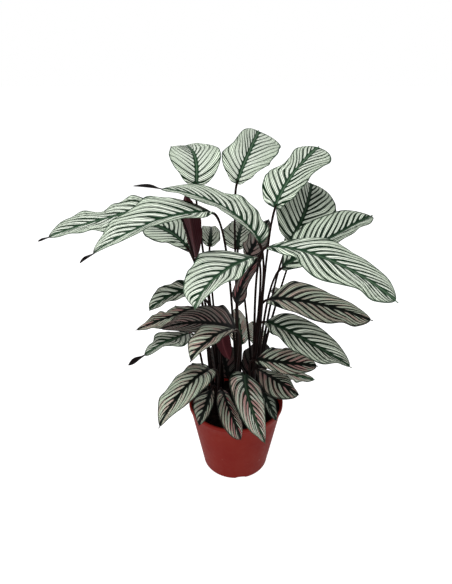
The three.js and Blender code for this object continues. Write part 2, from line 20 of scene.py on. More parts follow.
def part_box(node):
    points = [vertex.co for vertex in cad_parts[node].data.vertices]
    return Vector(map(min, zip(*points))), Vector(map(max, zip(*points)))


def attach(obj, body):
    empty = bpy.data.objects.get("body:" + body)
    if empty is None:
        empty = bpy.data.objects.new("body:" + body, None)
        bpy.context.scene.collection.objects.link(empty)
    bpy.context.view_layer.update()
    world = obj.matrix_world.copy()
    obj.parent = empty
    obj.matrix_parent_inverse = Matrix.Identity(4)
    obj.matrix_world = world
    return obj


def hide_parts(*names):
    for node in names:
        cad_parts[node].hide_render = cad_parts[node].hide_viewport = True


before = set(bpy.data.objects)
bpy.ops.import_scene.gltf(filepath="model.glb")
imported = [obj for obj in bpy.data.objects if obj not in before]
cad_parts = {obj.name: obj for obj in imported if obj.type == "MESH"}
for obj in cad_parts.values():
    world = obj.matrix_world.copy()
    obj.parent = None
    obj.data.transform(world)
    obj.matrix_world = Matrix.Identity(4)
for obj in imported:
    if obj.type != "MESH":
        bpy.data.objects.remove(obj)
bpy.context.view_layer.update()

MM = 0.001
BODY = "root"
LOG = logging.getLogger("calathea")

Array = np.ndarray
Point = tuple[float, float, float]


def linear(colour: str) -> tuple[float, float, float, float]:
    """Turns an sRGB hex colour to the linear colour that a socket takes.

    Args:
        colour: The colour as "#rrggbb".

    Returns:
        Linear red, green, blue and an alpha of 1.
    """
    parts = [int(colour[k : k + 2], 16) / 255 for k in (1, 3, 5)]
    red, green, blue = (c / 12.92 if c <= 0.04045 else ((c + 0.055) / 1.055) ** 2.4 for c in parts)
    return red, green, blue, 1.0


class Bench:
    """The node tree of one material or world while it is wired."""

    def __init__(self, owner: Any) -> None:
        """Empties the node tree of a new material or world.

        Args:
            owner: The material or world.
        """
        self.owner = owner
        self.owner.use_nodes = True
        self.tree = owner.node_tree
        self.tree.nodes.clear()

    def add(self, kind: str, settings: dict[str, Any], links: dict[Any, Any], output: Any = 0) -> Any:
        """Adds a node with its settings and links.

        Args:
            kind: The node's type name, without its ShaderNode prefix.
            settings: Its own properties and their values.
            links: Its inputs, each with a constant or with the output that feeds it.
            output: Which of its outputs to give back.

        Returns:
            That output, ready to be linked.
        """
        made = self.tree.nodes.new("ShaderNode" + kind)
        for key, value in settings.items():
            setattr(made, key, value)
        for key, value in links.items():
            if isinstance(value, bpy.types.NodeSocket):
                self.tree.links.new(value, made.inputs[key])
            else:
                made.inputs[key].default_value = value
        return made.outputs[output] if len(made.outputs) else None

    def read(self, name: str) -> Any:
        """Reads what the mesh's points carry.

        Args:
            name: The name that they carry it under.

        Returns:
            The value at a place.
        """
        return self.add("Attribute", {"attribute_name": name}, {}, "Fac")

    def place(self) -> Any:
        """Reads where a place is.

        Returns:
            The place in the object's own metres.
        """
        return self.add("TexCoord", {}, {}, "Object")

    def work(self, operation: str, *values: Any) -> Any:
        """Works out a number.

        Args:
            operation: What is done, as the node names it.
            values: The numbers that it is done with, or the outputs that feed them.

        Returns:
            The result.
        """
        return self.add("Math", {"operation": operation}, dict(enumerate(values)))

    def ramp(self, value: Any, start: Any, end: Any, low: float, high: float, smooth: bool = False) -> Any:
        """Turns a stretch of values to another, and holds its ends beyond it.

        Args:
            value: The value to turn.
            start: Where the stretch starts.
            end: Where it ends.
            low: What its start turns to.
            high: What its end turns to.
            smooth: Whether it eases in and out.

        Returns:
            The turned value.
        """
        settings = {"interpolation_type": "SMOOTHSTEP" if smooth else "LINEAR"}
        return self.add("MapRange", settings, {0: value, 1: start, 2: end, 3: low, 4: high})

    def blend(self, share: Any, under: Any, over: Any, way: str = "MIX") -> Any:
        """Lays a colour over another.

        Args:
            share: How much of it covers.
            under: The colour below, as a hex colour or an output.
            over: The colour on top, alike.
            way: How the two meet, as the node names it.

        Returns:
            The new colour.
        """
        below, above = (linear(colour) if isinstance(colour, str) else colour for colour in (under, over))
        return self.add("Mix", {"data_type": "RGBA", "blend_type": way}, {0: share, 6: below, 7: above}, 2)

    def noise(self, place: Any, size: float, detail: float, roughness: float = 0.5) -> Any:
        """Draws cloudy noise.

        Args:
            place: Where it is read.
            size: How large its clouds are, in the place's own measure.
            detail: How many finer layers it has.
            roughness: How much the finer layers count.

        Returns:
            The noise, about 0.5 on average.
        """
        inputs = {"Vector": place, "Scale": 1 / size, "Detail": detail, "Roughness": roughness}
        return self.add("TexNoise", {}, inputs)

    def off_line(self, count: Any) -> Any:
        """How far a place is from the nearest of evenly spaced lines, as a share of their spacing.

        Args:
            count: The place counted in lines, which stand half way between whole numbers.

        Returns:
            The share, 0.5 at most.
        """
        return self.work("ABSOLUTE", self.work("SUBTRACT", self.work("FRACT", count), 0.5))

    def finish(self, shader: Any, output: str = "OutputMaterial") -> Any:
        """Links the shader to the tree's output.

        Args:
            shader: The finished shader.
            output: The output node's type name, without its ShaderNode prefix.

        Returns:
            The material or world.
        """
        self.add(output, {}, {"Surface": shader})
        return self.owner


@dataclass(frozen=True, kw_only=True)
class Finish:
    """What every finish of the object has: how dull it is, how it shines, and a fine relief.

    depth is the relief's depth in millimetres.
    """

    name: str
    roughness: float
    gloss: float
    ior: float
    relief: float
    depth: float

    def cover(self, bench: Bench, colour: Any, height: Any, roughness: Any = None) -> bpy.types.Material:
        """Ends a material with its colour, gloss and relief.

        Args:
            bench: The material being wired.
            colour: Its colour.
            height: The height that gives the relief.
            roughness: How dull it is, where that varies.

        Returns:
            The finished material.
        """
        bump = bench.add("Bump", {}, {"Height": height, "Strength": self.relief, "Distance": self.depth * MM})
        inputs = {
            "Base Color": colour,
            "Roughness": self.roughness if roughness is None else roughness,
            "IOR": self.ior,
            "Specular IOR Level": self.gloss,
            "Normal": bump,
        }
        return bench.finish(bench.add("BsdfPrincipled", {}, inputs))


@dataclass(frozen=True)
class Tints:
    """The hex colours of one kind of leaf.

    They are the pale ground at the margin and inside, the lines, the band, the rib, the flush and the dry
    lobe.
    """

    margin: str
    inner: str
    ink: str
    band: str
    rib: str
    rose: str
    dry: str = "#0d0808"


class Tone(Enum):
    """How a leaf is coloured: young mint, green, sage, ash grey, and a dark tone that is painted shade."""

    MINT = Tints("#dbe8d3", "#eef5e8", "#0a2410", "#193421", "#4c634d", "#c78f88")
    GREEN = Tints("#d4e2cc", "#e4eede", "#081d0e", "#0d2314", "#2f4632", "#ca7b80")
    SAGE = Tints("#c4d1bd", "#d6dfce", "#06140a", "#0d1e13", "#26342a", "#c68284")
    ASH = Tints("#bfcfb7", "#d1dec8", "#030804", "#060d08", "#0f160f", "#cb777d")
    # Painted shade: the leaf colours darkened for leaves deep in the shadow of others.
    PAINTED_SHADE = Tints("#7f7f76", "#8f8c84", "#020403", "#030604", "#060a07", "#b06268")


@dataclass(frozen=True, kw_only=True)
class StarLeafUpper(Finish):
    """Upper face of a calathea blade: living leaf under a thin wax, which gives it a soft satin gloss.

    The pale ground carries dark green lines along the lateral veins, broad at the rib and thin at the margin,
    with finer lines between them, a feathered dark band along the rib and a dark margin. Old leaves flush
    dusty pink. Lengths are in millimetres. band_ends and rib_ends say where either starts and stops to fade,
    counted in its own width, margin_ends likewise, and base_ends and tip_ends as shares along the leaf.
    """

    tone: Tone
    roughness: float = 0.5
    dry_roughness: float = 0.8
    gloss: float = 0.08
    ior: float = 1.42
    relief: float = 0.5
    depth: float = 0.12
    spacing: float = 10.5
    broad_at_rib: float = 1.7
    broad_at_margin: float = 1.15
    broad_varies: float = 0.9
    broad_blur: float = 0.35
    fine_lines: int = 4
    fine_width: float = 0.55
    fine_blur: float = 0.3
    fine_ink: float = 0.92
    band_at_base: float = 5.0
    band_at_tip: float = 2.4
    band_ends: tuple[float, float] = (0.5, 1.0)
    feather: float = 2.5
    rib_width: float = 1.3
    rib_ends: tuple[float, float] = (0.5, 1.2)
    rib_ink: float = 0.85
    margin_width: float = 1.9
    margin_ends: tuple[float, float] = (0.5, 1.3)
    margin_ink: float = 0.9
    base_ends: tuple[float, float] = (0.01, 0.06)
    tip_ends: tuple[float, float] = (0.93, 0.985)
    wander_length: float = 22
    cloud_length: float = 9
    cloud_size: float = 1 / 1.3
    cloud_ends: tuple[float, float] = (0.46, 0.57)
    least_flush: float = 0.05
    flush_at_margin: float = 0.45
    # The least of the face's colour that the painted shade leaves.
    darkest: float = 0.1

    def place(self, bench: Bench, length: float) -> tuple[Any, Any]:
        """Wires a place on the blade for noise that runs along the veins.

        Args:
            bench: The material being wired.
            length: How long the noise's clouds are.

        Returns:
            The place, and how far it is from the rib as a share of the half width.
        """
        across = bench.read("across")
        slow = bench.work("MULTIPLY", bench.read("vein"), 1 / length)
        made = bench.add("CombineXYZ", {}, {0: slow, 1: across, 2: bench.read("seed")})
        return made, bench.work("ABSOLUTE", across)

    def lines(self, bench: Bench) -> tuple[Any, Any]:
        """Wires the lines that follow the lateral veins.

        Args:
            bench: The material being wired.

        Returns:
            How dark the lines are at a place, and how far the nearest broad one is in millimetres.
        """
        place, side = self.place(bench, self.wander_length)
        shift = bench.ramp(bench.noise(place, 1.0, 1.0), 0.0, 1.0, -0.5, 0.5)
        count = bench.work("MULTIPLY_ADD", bench.read("vein"), 1 / self.spacing, shift)
        apart = bench.work("MULTIPLY", bench.off_line(count), self.spacing)
        taper = bench.ramp(side, 0.0, 0.9, self.broad_at_rib, self.broad_at_margin, True)
        fuller = bench.work("MULTIPLY", taper, bench.read("bold"))
        width = bench.work("MULTIPLY_ADD", shift, self.broad_varies, fuller)
        inner = bench.work("SUBTRACT", width, self.broad_blur)
        outer = bench.work("ADD", width, self.broad_blur)
        broad = bench.ramp(apart, inner, outer, 1.0, 0.0, True)
        often = bench.work("MULTIPLY_ADD", count, self.fine_lines, 0.5)
        off_fine = bench.work("MULTIPLY", bench.off_line(often), self.spacing / self.fine_lines)
        sharp, blurred = self.fine_width - self.fine_blur, self.fine_width + self.fine_blur
        fine = bench.ramp(off_fine, sharp, blurred, self.fine_ink, 0.0, True)
        return bench.work("MAXIMUM", broad, fine), apart

    def ground(self, bench: Bench) -> Any:
        """Wires the pale ground: greener at the margin, paler at the rib, flushed pink on old leaves.

        Args:
            bench: The material being wired.

        Returns:
            The ground's colour.
        """
        place, side = self.place(bench, self.cloud_length)
        tints = self.tone.value
        pale = bench.blend(bench.ramp(side, 0.1, 0.95, 1.0, 0.0), tints.margin, tints.inner)
        cloud = bench.ramp(bench.noise(place, self.cloud_size, 2.0), *self.cloud_ends, self.least_flush, 1.0)
        near_rib = bench.ramp(side, 0.3, 1.0, 1.0, self.flush_at_margin)
        flush = bench.work("MULTIPLY", bench.work("MULTIPLY", cloud, near_rib), bench.read("blush"))
        return bench.blend(flush, pale, tints.rose)

    def frame(self, bench: Bench, apart: Any) -> Any:
        """Wires the dark band along the rib, feathered along the broad lines, and the dark margin and ends.

        Args:
            bench: The material being wired.
            apart: How far the nearest broad line is, in millimetres.

        Returns:
            How dark the frame is at a place.
        """
        along = bench.read("along")
        from_rib = bench.work("ABSOLUTE", bench.read("rib"))
        width = bench.ramp(along, 0.0, 0.9, self.band_at_base, self.band_at_tip)
        reach = bench.ramp(apart, 0.0, self.spacing / 2, self.feather, 0.0)
        past_band = bench.work("DIVIDE", bench.work("SUBTRACT", from_rib, reach), width)
        band = bench.ramp(past_band, *self.band_ends, 1.0, 0.0, True)
        start, end = (self.margin_width * share for share in self.margin_ends)
        margin = bench.ramp(bench.read("edge"), start, end, self.margin_ink, 0.0, True)
        base = bench.ramp(along, *self.base_ends, 1.0, 0.0, True)
        tip = bench.ramp(along, *self.tip_ends, 0.0, 1.0, True)
        sides = bench.work("MAXIMUM", band, margin)
        return bench.work("MAXIMUM", sides, bench.work("MAXIMUM", base, tip))

    def build(self) -> bpy.types.Material:
        """Wires the whole face.

        Returns:
            The face's material.
        """
        bench = Bench(bpy.data.materials.new(self.name))
        tints = self.tone.value
        lines, apart = self.lines(bench)
        lined = bench.blend(lines, self.ground(bench), tints.ink)
        framed = bench.blend(self.frame(bench, apart), lined, tints.band)
        from_rib = bench.work("ABSOLUTE", bench.read("rib"))
        start, end = (self.rib_width * share for share in self.rib_ends)
        ribbed = bench.blend(bench.ramp(from_rib, start, end, self.rib_ink, 0.0, True), framed, tints.rib)
        # Painted shade: the leaf's shade multiplies the whole face darker, down to darkest.
        light = bench.ramp(bench.read("shade"), 0.0, 1.0, 1.0, self.darkest)
        grey = bench.add("CombineXYZ", {}, {0: light, 1: light, 2: light})
        shaded = bench.blend(1.0, ribbed, grey, "MULTIPLY")
        withered = bench.read("dry")
        colour = bench.blend(withered, shaded, tints.dry)
        roughness = bench.ramp(withered, 0.0, 1.0, self.roughness, self.dry_roughness)
        return self.cover(bench, colour, bench.work("SUBTRACT", 1.0, lines), roughness)


@dataclass(frozen=True, kw_only=True)
class StarLeafUnder(Finish):
    """Under face of a calathea blade: leaf skin coloured wine red, velvety, with standing lateral veins.

    The veins' spacing is in millimetres, and so is keel_ends, where the paler keel starts and stops to fade.
    """

    name: str = "calathea_leaf_underside"
    roughness: float = 0.5
    gloss: float = 0.05
    ior: float = 1.42
    relief: float = 0.6
    depth: float = 0.15
    wine: str = "#351217"
    vein: str = "#260d11"
    keel: str = "#4b2226"
    dry: str = "#0d0808"
    spacing: float = 4.5
    keel_ends: tuple[float, float] = (0.8, 2.4)

    def build(self) -> bpy.types.Material:
        """Wires the face.

        Returns:
            The face's material.
        """
        bench = Bench(bpy.data.materials.new(self.name))
        count = bench.work("MULTIPLY", bench.read("vein"), 1 / self.spacing)
        line = bench.ramp(bench.off_line(count), 0.04, 0.2, 0.7, 0.0, True)
        skin = bench.blend(line, self.wine, self.vein)
        from_rib = bench.work("ABSOLUTE", bench.read("rib"))
        keeled = bench.blend(bench.ramp(from_rib, *self.keel_ends, 0.8, 0.0), skin, self.keel)
        return self.cover(bench, bench.blend(bench.read("dry"), keeled, self.dry), line)


@dataclass(frozen=True, kw_only=True)
class PetioleSkin(Finish):
    """Skin of the leaf stalks: smooth living stem, a nearly black wine red, browner at the top.

    Its near-black low end is partly the stem's own colour and partly painted shade of the crowded middle. The
    width and length of its paler streaks are in millimetres.
    """

    name: str = "calathea_petiole"
    roughness: float = 0.5
    gloss: float = 0.03
    ior: float = 1.45
    relief: float = 0.3
    depth: float = 0.2
    # Partly painted shade: the near-black colour low down, where the middle of the plant is shaded.
    low: str = "#050303"
    high: str = "#180d0b"
    streak: str = "#2e1b18"
    streak_width: float = 3
    streak_length: float = 40

    def build(self) -> bpy.types.Material:
        """Wires the skin.

        Returns:
            The skin's material.
        """
        bench = Bench(bpy.data.materials.new(self.name))
        scale = [1 / (size * MM) for size in (self.streak_width, self.streak_width, self.streak_length)]
        long = bench.add("Mapping", {}, {"Vector": bench.place(), "Scale": scale})
        grain = bench.noise(long, 1.0, 3.0)
        # Partly painted shade: the stalks darken from high to low towards the mix, in the shaded middle of
        # the plant.
        skin = bench.blend(bench.read("height"), self.low, self.high)
        colour = bench.blend(bench.ramp(grain, 0.52, 0.7, 0.0, 0.5), skin, self.streak)
        return self.cover(bench, colour, grain)


@dataclass(frozen=True, kw_only=True)
class MouldedPolypropylene(Finish):
    """Injection-moulded polypropylene of a nursery pot: thin, dull, evenly coloured, with a bloom of dust.

    The moulding leaves a fine orange-peel skin, and handling leaves scuffs and a few grains of mix low on the
    outside. Lengths are in millimetres.
    """

    name: str = "pot_moulded_polypropylene"
    roughness: float = 0.55
    gloss: float = 0.06
    ior: float = 1.49
    relief: float = 0.25
    depth: float = 0.1
    red: str = "#64120b"
    dust: str = "#71241a"
    speck: str = "#b98f84"
    bloom_size: float = 55
    peel_size: float = 0.9
    scuff_size: float = 9
    smoother: float = 0.06
    duller: float = 0.14
    grains_apart: float = 13
    grain_ends: tuple[float, float] = (0.045, 0.075)
    splash_ends: tuple[float, float] = (25, 60)

    def build(self) -> bpy.types.Material:
        """Wires the plastic.

        Returns:
            The plastic's material.
        """
        bench = Bench(bpy.data.materials.new(self.name))
        place = bench.place()
        bloom = bench.noise(place, self.bloom_size * MM, 4.0)
        peel = bench.noise(place, self.peel_size * MM, 2.0)
        scuffs = bench.noise(place, self.scuff_size * MM, 6.0, 0.7)
        cells = bench.add("TexVoronoi", {}, {"Vector": place, "Scale": 1 / (self.grains_apart * MM)})
        plastic = bench.blend(bench.ramp(bloom, 0.35, 0.7, 0.0, 0.45), self.red, self.dust)
        height = bench.add("SeparateXYZ", {}, {0: place}, "Z")
        low = bench.ramp(height, *(end * MM for end in self.splash_ends), 1.0, 0.0)
        splashed = bench.work("MULTIPLY", bench.ramp(cells, *self.grain_ends, 1.0, 0.0), low)
        colour = bench.blend(splashed, plastic, self.speck)
        least, most = self.roughness - self.smoother, self.roughness + self.duller
        return self.cover(bench, colour, peel, bench.ramp(scuffs, 0.3, 0.75, least, most))


@dataclass(frozen=True, kw_only=True)
class MoistPeat(Finish):
    """Moist potting mix: peat crumbs and fibre, nearly black, with browner dry lumps. Millimetres."""

    name: str = "moist_peat_mix"
    roughness: float = 0.95
    gloss: float = 0.05
    ior: float = 1.4
    relief: float = 0.9
    depth: float = 0.8
    wet: str = "#060504"
    crumb: str = "#1c120e"
    lump_size: float = 5

    def build(self) -> bpy.types.Material:
        """Wires the mix.

        Returns:
            The mix's material.
        """
        bench = Bench(bpy.data.materials.new(self.name))
        lumps = bench.noise(bench.place(), self.lump_size * MM, 8.0, 0.7)
        colour = bench.blend(bench.ramp(lumps, 0.45, 0.68, 0.0, 1.0), self.wet, self.crumb)
        return self.cover(bench, colour, lumps)


@dataclass(frozen=True)
class PaintedFloor:
    """Plain matt white studio floor, lit from below as on a light table, which leaves next to no shadow."""

    name: str = "studio_floor"
    white: str = "#9c9c9c"
    glow: float = 0.95
    roughness: float = 0.9
    gloss: float = 0.2

    def build(self) -> bpy.types.Material:
        """Wires the floor.

        Returns:
            The floor's material.
        """
        bench = Bench(bpy.data.materials.new(self.name))
        inputs = {
            "Base Color": linear(self.white),
            "Roughness": self.roughness,
            "Specular IOR Level": self.gloss,
            "Emission Color": linear("#ffffff"),
            "Emission Strength": self.glow,
        }
        return bench.finish(bench.add("BsdfPrincipled", {}, inputs))


@dataclass(frozen=True)
class Skin:
    """A mesh in the making: its points in millimetres, its faces, and what each point or face carries."""

    points: Array
    faces: list[tuple[int, ...]]
    carried: dict[str, Array] = field(default_factory=dict)
    finish_of_face: Sequence[int] = ()

    def to_object(self, name: str, finishes: Sequence[bpy.types.Material]) -> bpy.types.Object:
        """Makes the object, in metres.

        Args:
            name: The object's name.
            finishes: Its materials, in the order that finish_of_face counts.

        Returns:
            The new object, linked to the scene.
        """
        mesh = bpy.data.meshes.new(name)
        mesh.from_pydata((self.points * MM).tolist(), [], self.faces)
        for key, values in self.carried.items():
            made = mesh.attributes.new(key, "FLOAT", "POINT")
            made.data.foreach_set("value", np.asarray(values, np.float32).ravel())
        for finish in finishes:
            mesh.materials.append(finish)
        if len(self.finish_of_face):
            mesh.polygons.foreach_set("material_index", list(self.finish_of_face))
        mesh.polygons.foreach_set("use_smooth", [True] * len(mesh.polygons))
        mesh.validate()
        mesh.update()
        made = bpy.data.objects.new(name, mesh)
        bpy.context.scene.collection.objects.link(made)
        return made


def place_piece(piece: bpy.types.Object, node: str) -> None:
    """Sets a finished piece in the frame in the place of a node.

    Args:
        piece: The finished piece.
        node: The node that it replaces.
    """
    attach(piece, BODY)
    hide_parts(node)
    LOG.info("%s: %d faces for %s", piece.name, len(piece.data.polygons), node)


def curve_points(controls: Array, share: Array) -> tuple[Array, Array]:
    """Points and unit tangents of a Bezier curve of any degree.

    Args:
        controls: The control points, one a row.
        share: The parameters, from 0 to 1.

    Returns:
        The points and the tangents, one a row for each parameter.
    """
    degree = len(controls) - 1
    t = share[:, None]
    weights = [math.comb(degree, k) * t**k * (1 - t) ** (degree - k) for k in range(degree + 1)]
    steps = np.diff(controls, axis=0) * degree
    slopes = [math.comb(degree - 1, k) * t**k * (1 - t) ** (degree - 1 - k) for k in range(degree)]
    points = sum(w * c for w, c in zip(weights, controls))
    along = sum(w * c for w, c in zip(slopes, steps))
    return points, along / np.linalg.norm(along, axis=1, keepdims=True)


def carried_frames(along: Array, start: Array, first: int) -> Array:
    """Carries a direction along a curve, kept square to it.

    Args:
        along: The curve's unit tangents.
        start: The direction wanted at one of them.
        first: Which one that is.

    Returns:
        A unit direction for each tangent, square to it.
    """
    out = np.zeros_like(along)
    square = start - along[first] * (start @ along[first])
    out[first] = square / np.linalg.norm(square)
    for k in range(first + 1, len(along)):
        square = out[k - 1] - along[k] * (out[k - 1] @ along[k])
        out[k] = square / np.linalg.norm(square)
    for k in range(first - 1, -1, -1):
        square = out[k + 1] - along[k] * (out[k + 1] @ along[k])
        out[k] = square / np.linalg.norm(square)
    return out


def through(values: Sequence[float], place: Array) -> Array:
    """Reads a smooth curve that passes through evenly spaced values.

    Args:
        values: The values.
        place: Where to read it, counted in steps from the first value.

    Returns:
        The curve's values there.
    """
    last = len(values) - 1
    held = np.array(values, float)
    step = np.clip(np.floor(place).astype(int), 0, last - 1)
    a, b, c, d = (held[np.clip(step + k, 0, last)] for k in (-1, 0, 1, 2))
    f = place - step
    return b + 0.5 * f * (c - a + f * (2 * a - 5 * b + 4 * c - d + f * (3 * (b - c) + d - a)))


@dataclass(frozen=True)
class Leaf:
    """One leaf: where its rib runs, how its blade is cut and folded, and how it is coloured. Millimetres.

    shoot is the key of the shoot that carries it. base, middle and tip are three places on the rib. width is
    the plain outline's width at its widest, belly the place of that along the leaf, and a smaller tip_power
    makes a blunter tip. faces is the way the upper face looks at mid length, as azimuth (0 right, 90 back,
    -90 front) and elevation in degrees. fold lifts each half, in degrees, and ripple is how high the margin's
    waves are. left and right trim each margin at even steps from base to tip, in percent of the plain
    outline, seen tip up. tail is the share of the leaf that is a dry lobe, and tail_width the lobe's width.
    lean is how far out the stalk is drawn half way up. blush is how much the ground flushes pink, shade how
    much painted shade darkens the whole face, for a leaf in the shadow of others, bold how full its broad
    lines are, and loose how far apart all its lines stand.
    """

    number: int
    shoot: str
    base: Point
    middle: Point
    tip: Point
    width: float
    faces: tuple[float, float]
    fold: float
    ripple: float = 3
    waves: float = 3
    belly: float = 0.44
    tip_power: float = 0.62
    left: tuple[float, ...] = ()
    right: tuple[float, ...] = ()
    tail: float = 0.02
    tail_width: float = 6
    lean: float = 0.25
    tone: Tone = Tone.MINT
    blush: float = 0
    shade: float = 0
    bold: float = 1
    loose: float = 1

    joint_gap = 0.5
    neck_width = 4.4
    tip_width = 1.2
    tail_neck = 1.8
    least_lobe = 0.05
    scallop = 4
    scallop_phases = (2.4, 0.3)
    ripple_phases = (0.6, 2.1)
    ripple_fade = 1.1

    @property
    def node(self) -> str:
        """The leaf's node.

        Returns:
            Its name.
        """
        return f"leaf_{self.number:02d}"

    @property
    def withers(self) -> bool:
        """Tells a withered tip.

        Returns:
            Whether the leaf ends in a dry lobe.
        """
        return self.tail > self.least_lobe

    def rib_controls(self) -> Array:
        """The rib's quadratic curve through base, middle and tip.

        Returns:
            Its three control points.
        """
        base, middle, tip = (np.array(p, float) for p in (self.base, self.middle, self.tip))
        return np.array([base, 2 * middle - 0.5 * (base + tip), tip])

    def half_width(self, share: Array) -> Array:
        """Half the blade's plain width at shares along its length.

        Args:
            share: The shares, from 0 at the base to 1 at the tip.

        Returns:
            The half widths in millimetres.
        """
        body_end = 1 - self.tail
        t = np.minimum(1, share / body_end)
        base_power = self.tip_power * self.belly / (1 - self.belly)
        body = t**base_power * (1 - t) ** self.tip_power
        widest = self.belly**base_power * (1 - self.belly) ** self.tip_power
        past = np.clip((share - body_end) / self.tail, 0, 1)
        lobe = self.tail_neck + (self.tail_width - self.tail_neck) * np.sin(math.pi * past**1.5)
        tip = lobe if self.withers else np.full_like(t, self.tip_width)
        ends = self.neck_width / 2 * (1 - t) + tip / 2 * t
        return np.maximum(ends, self.width / 2 * body / widest)

    def trim_at(self, share: Array, side: Array) -> Array:
        """How much of the plain width the margin reaches, from the leaf's own trims or from small scallops.

        Args:
            share: The shares along the leaf.
            side: Which half, negative on the left.

        Returns:
            The shares of the plain half width.
        """
        if not self.left:
            phase = np.where(side > 0, *self.scallop_phases)
            return 1 + self.scallop / 100 * np.sin(2 * math.pi * (self.waves + 0.5) * share + phase)
        count = len(self.left)
        place = np.clip(share / (1 - self.tail) * (count + 1) - 1, 0, count - 1)
        return np.where(side > 0, through(self.right, place), through(self.left, place)) / 100

    def ripple_at(self, share: Array, side: Array) -> Array:
        """How far the margin's waves lift the blade.

        Args:
            share: The shares along the leaf.
            side: The shares across it, negative on the left.

        Returns:
            The lifts in millimetres.
        """
        phase = np.where(side > 0, *self.ripple_phases)
        swell = np.sin(math.pi * np.minimum(1, share * self.ripple_fade)) * side**2
        return self.ripple * swell * np.sin(2 * math.pi * self.waves * share + phase)


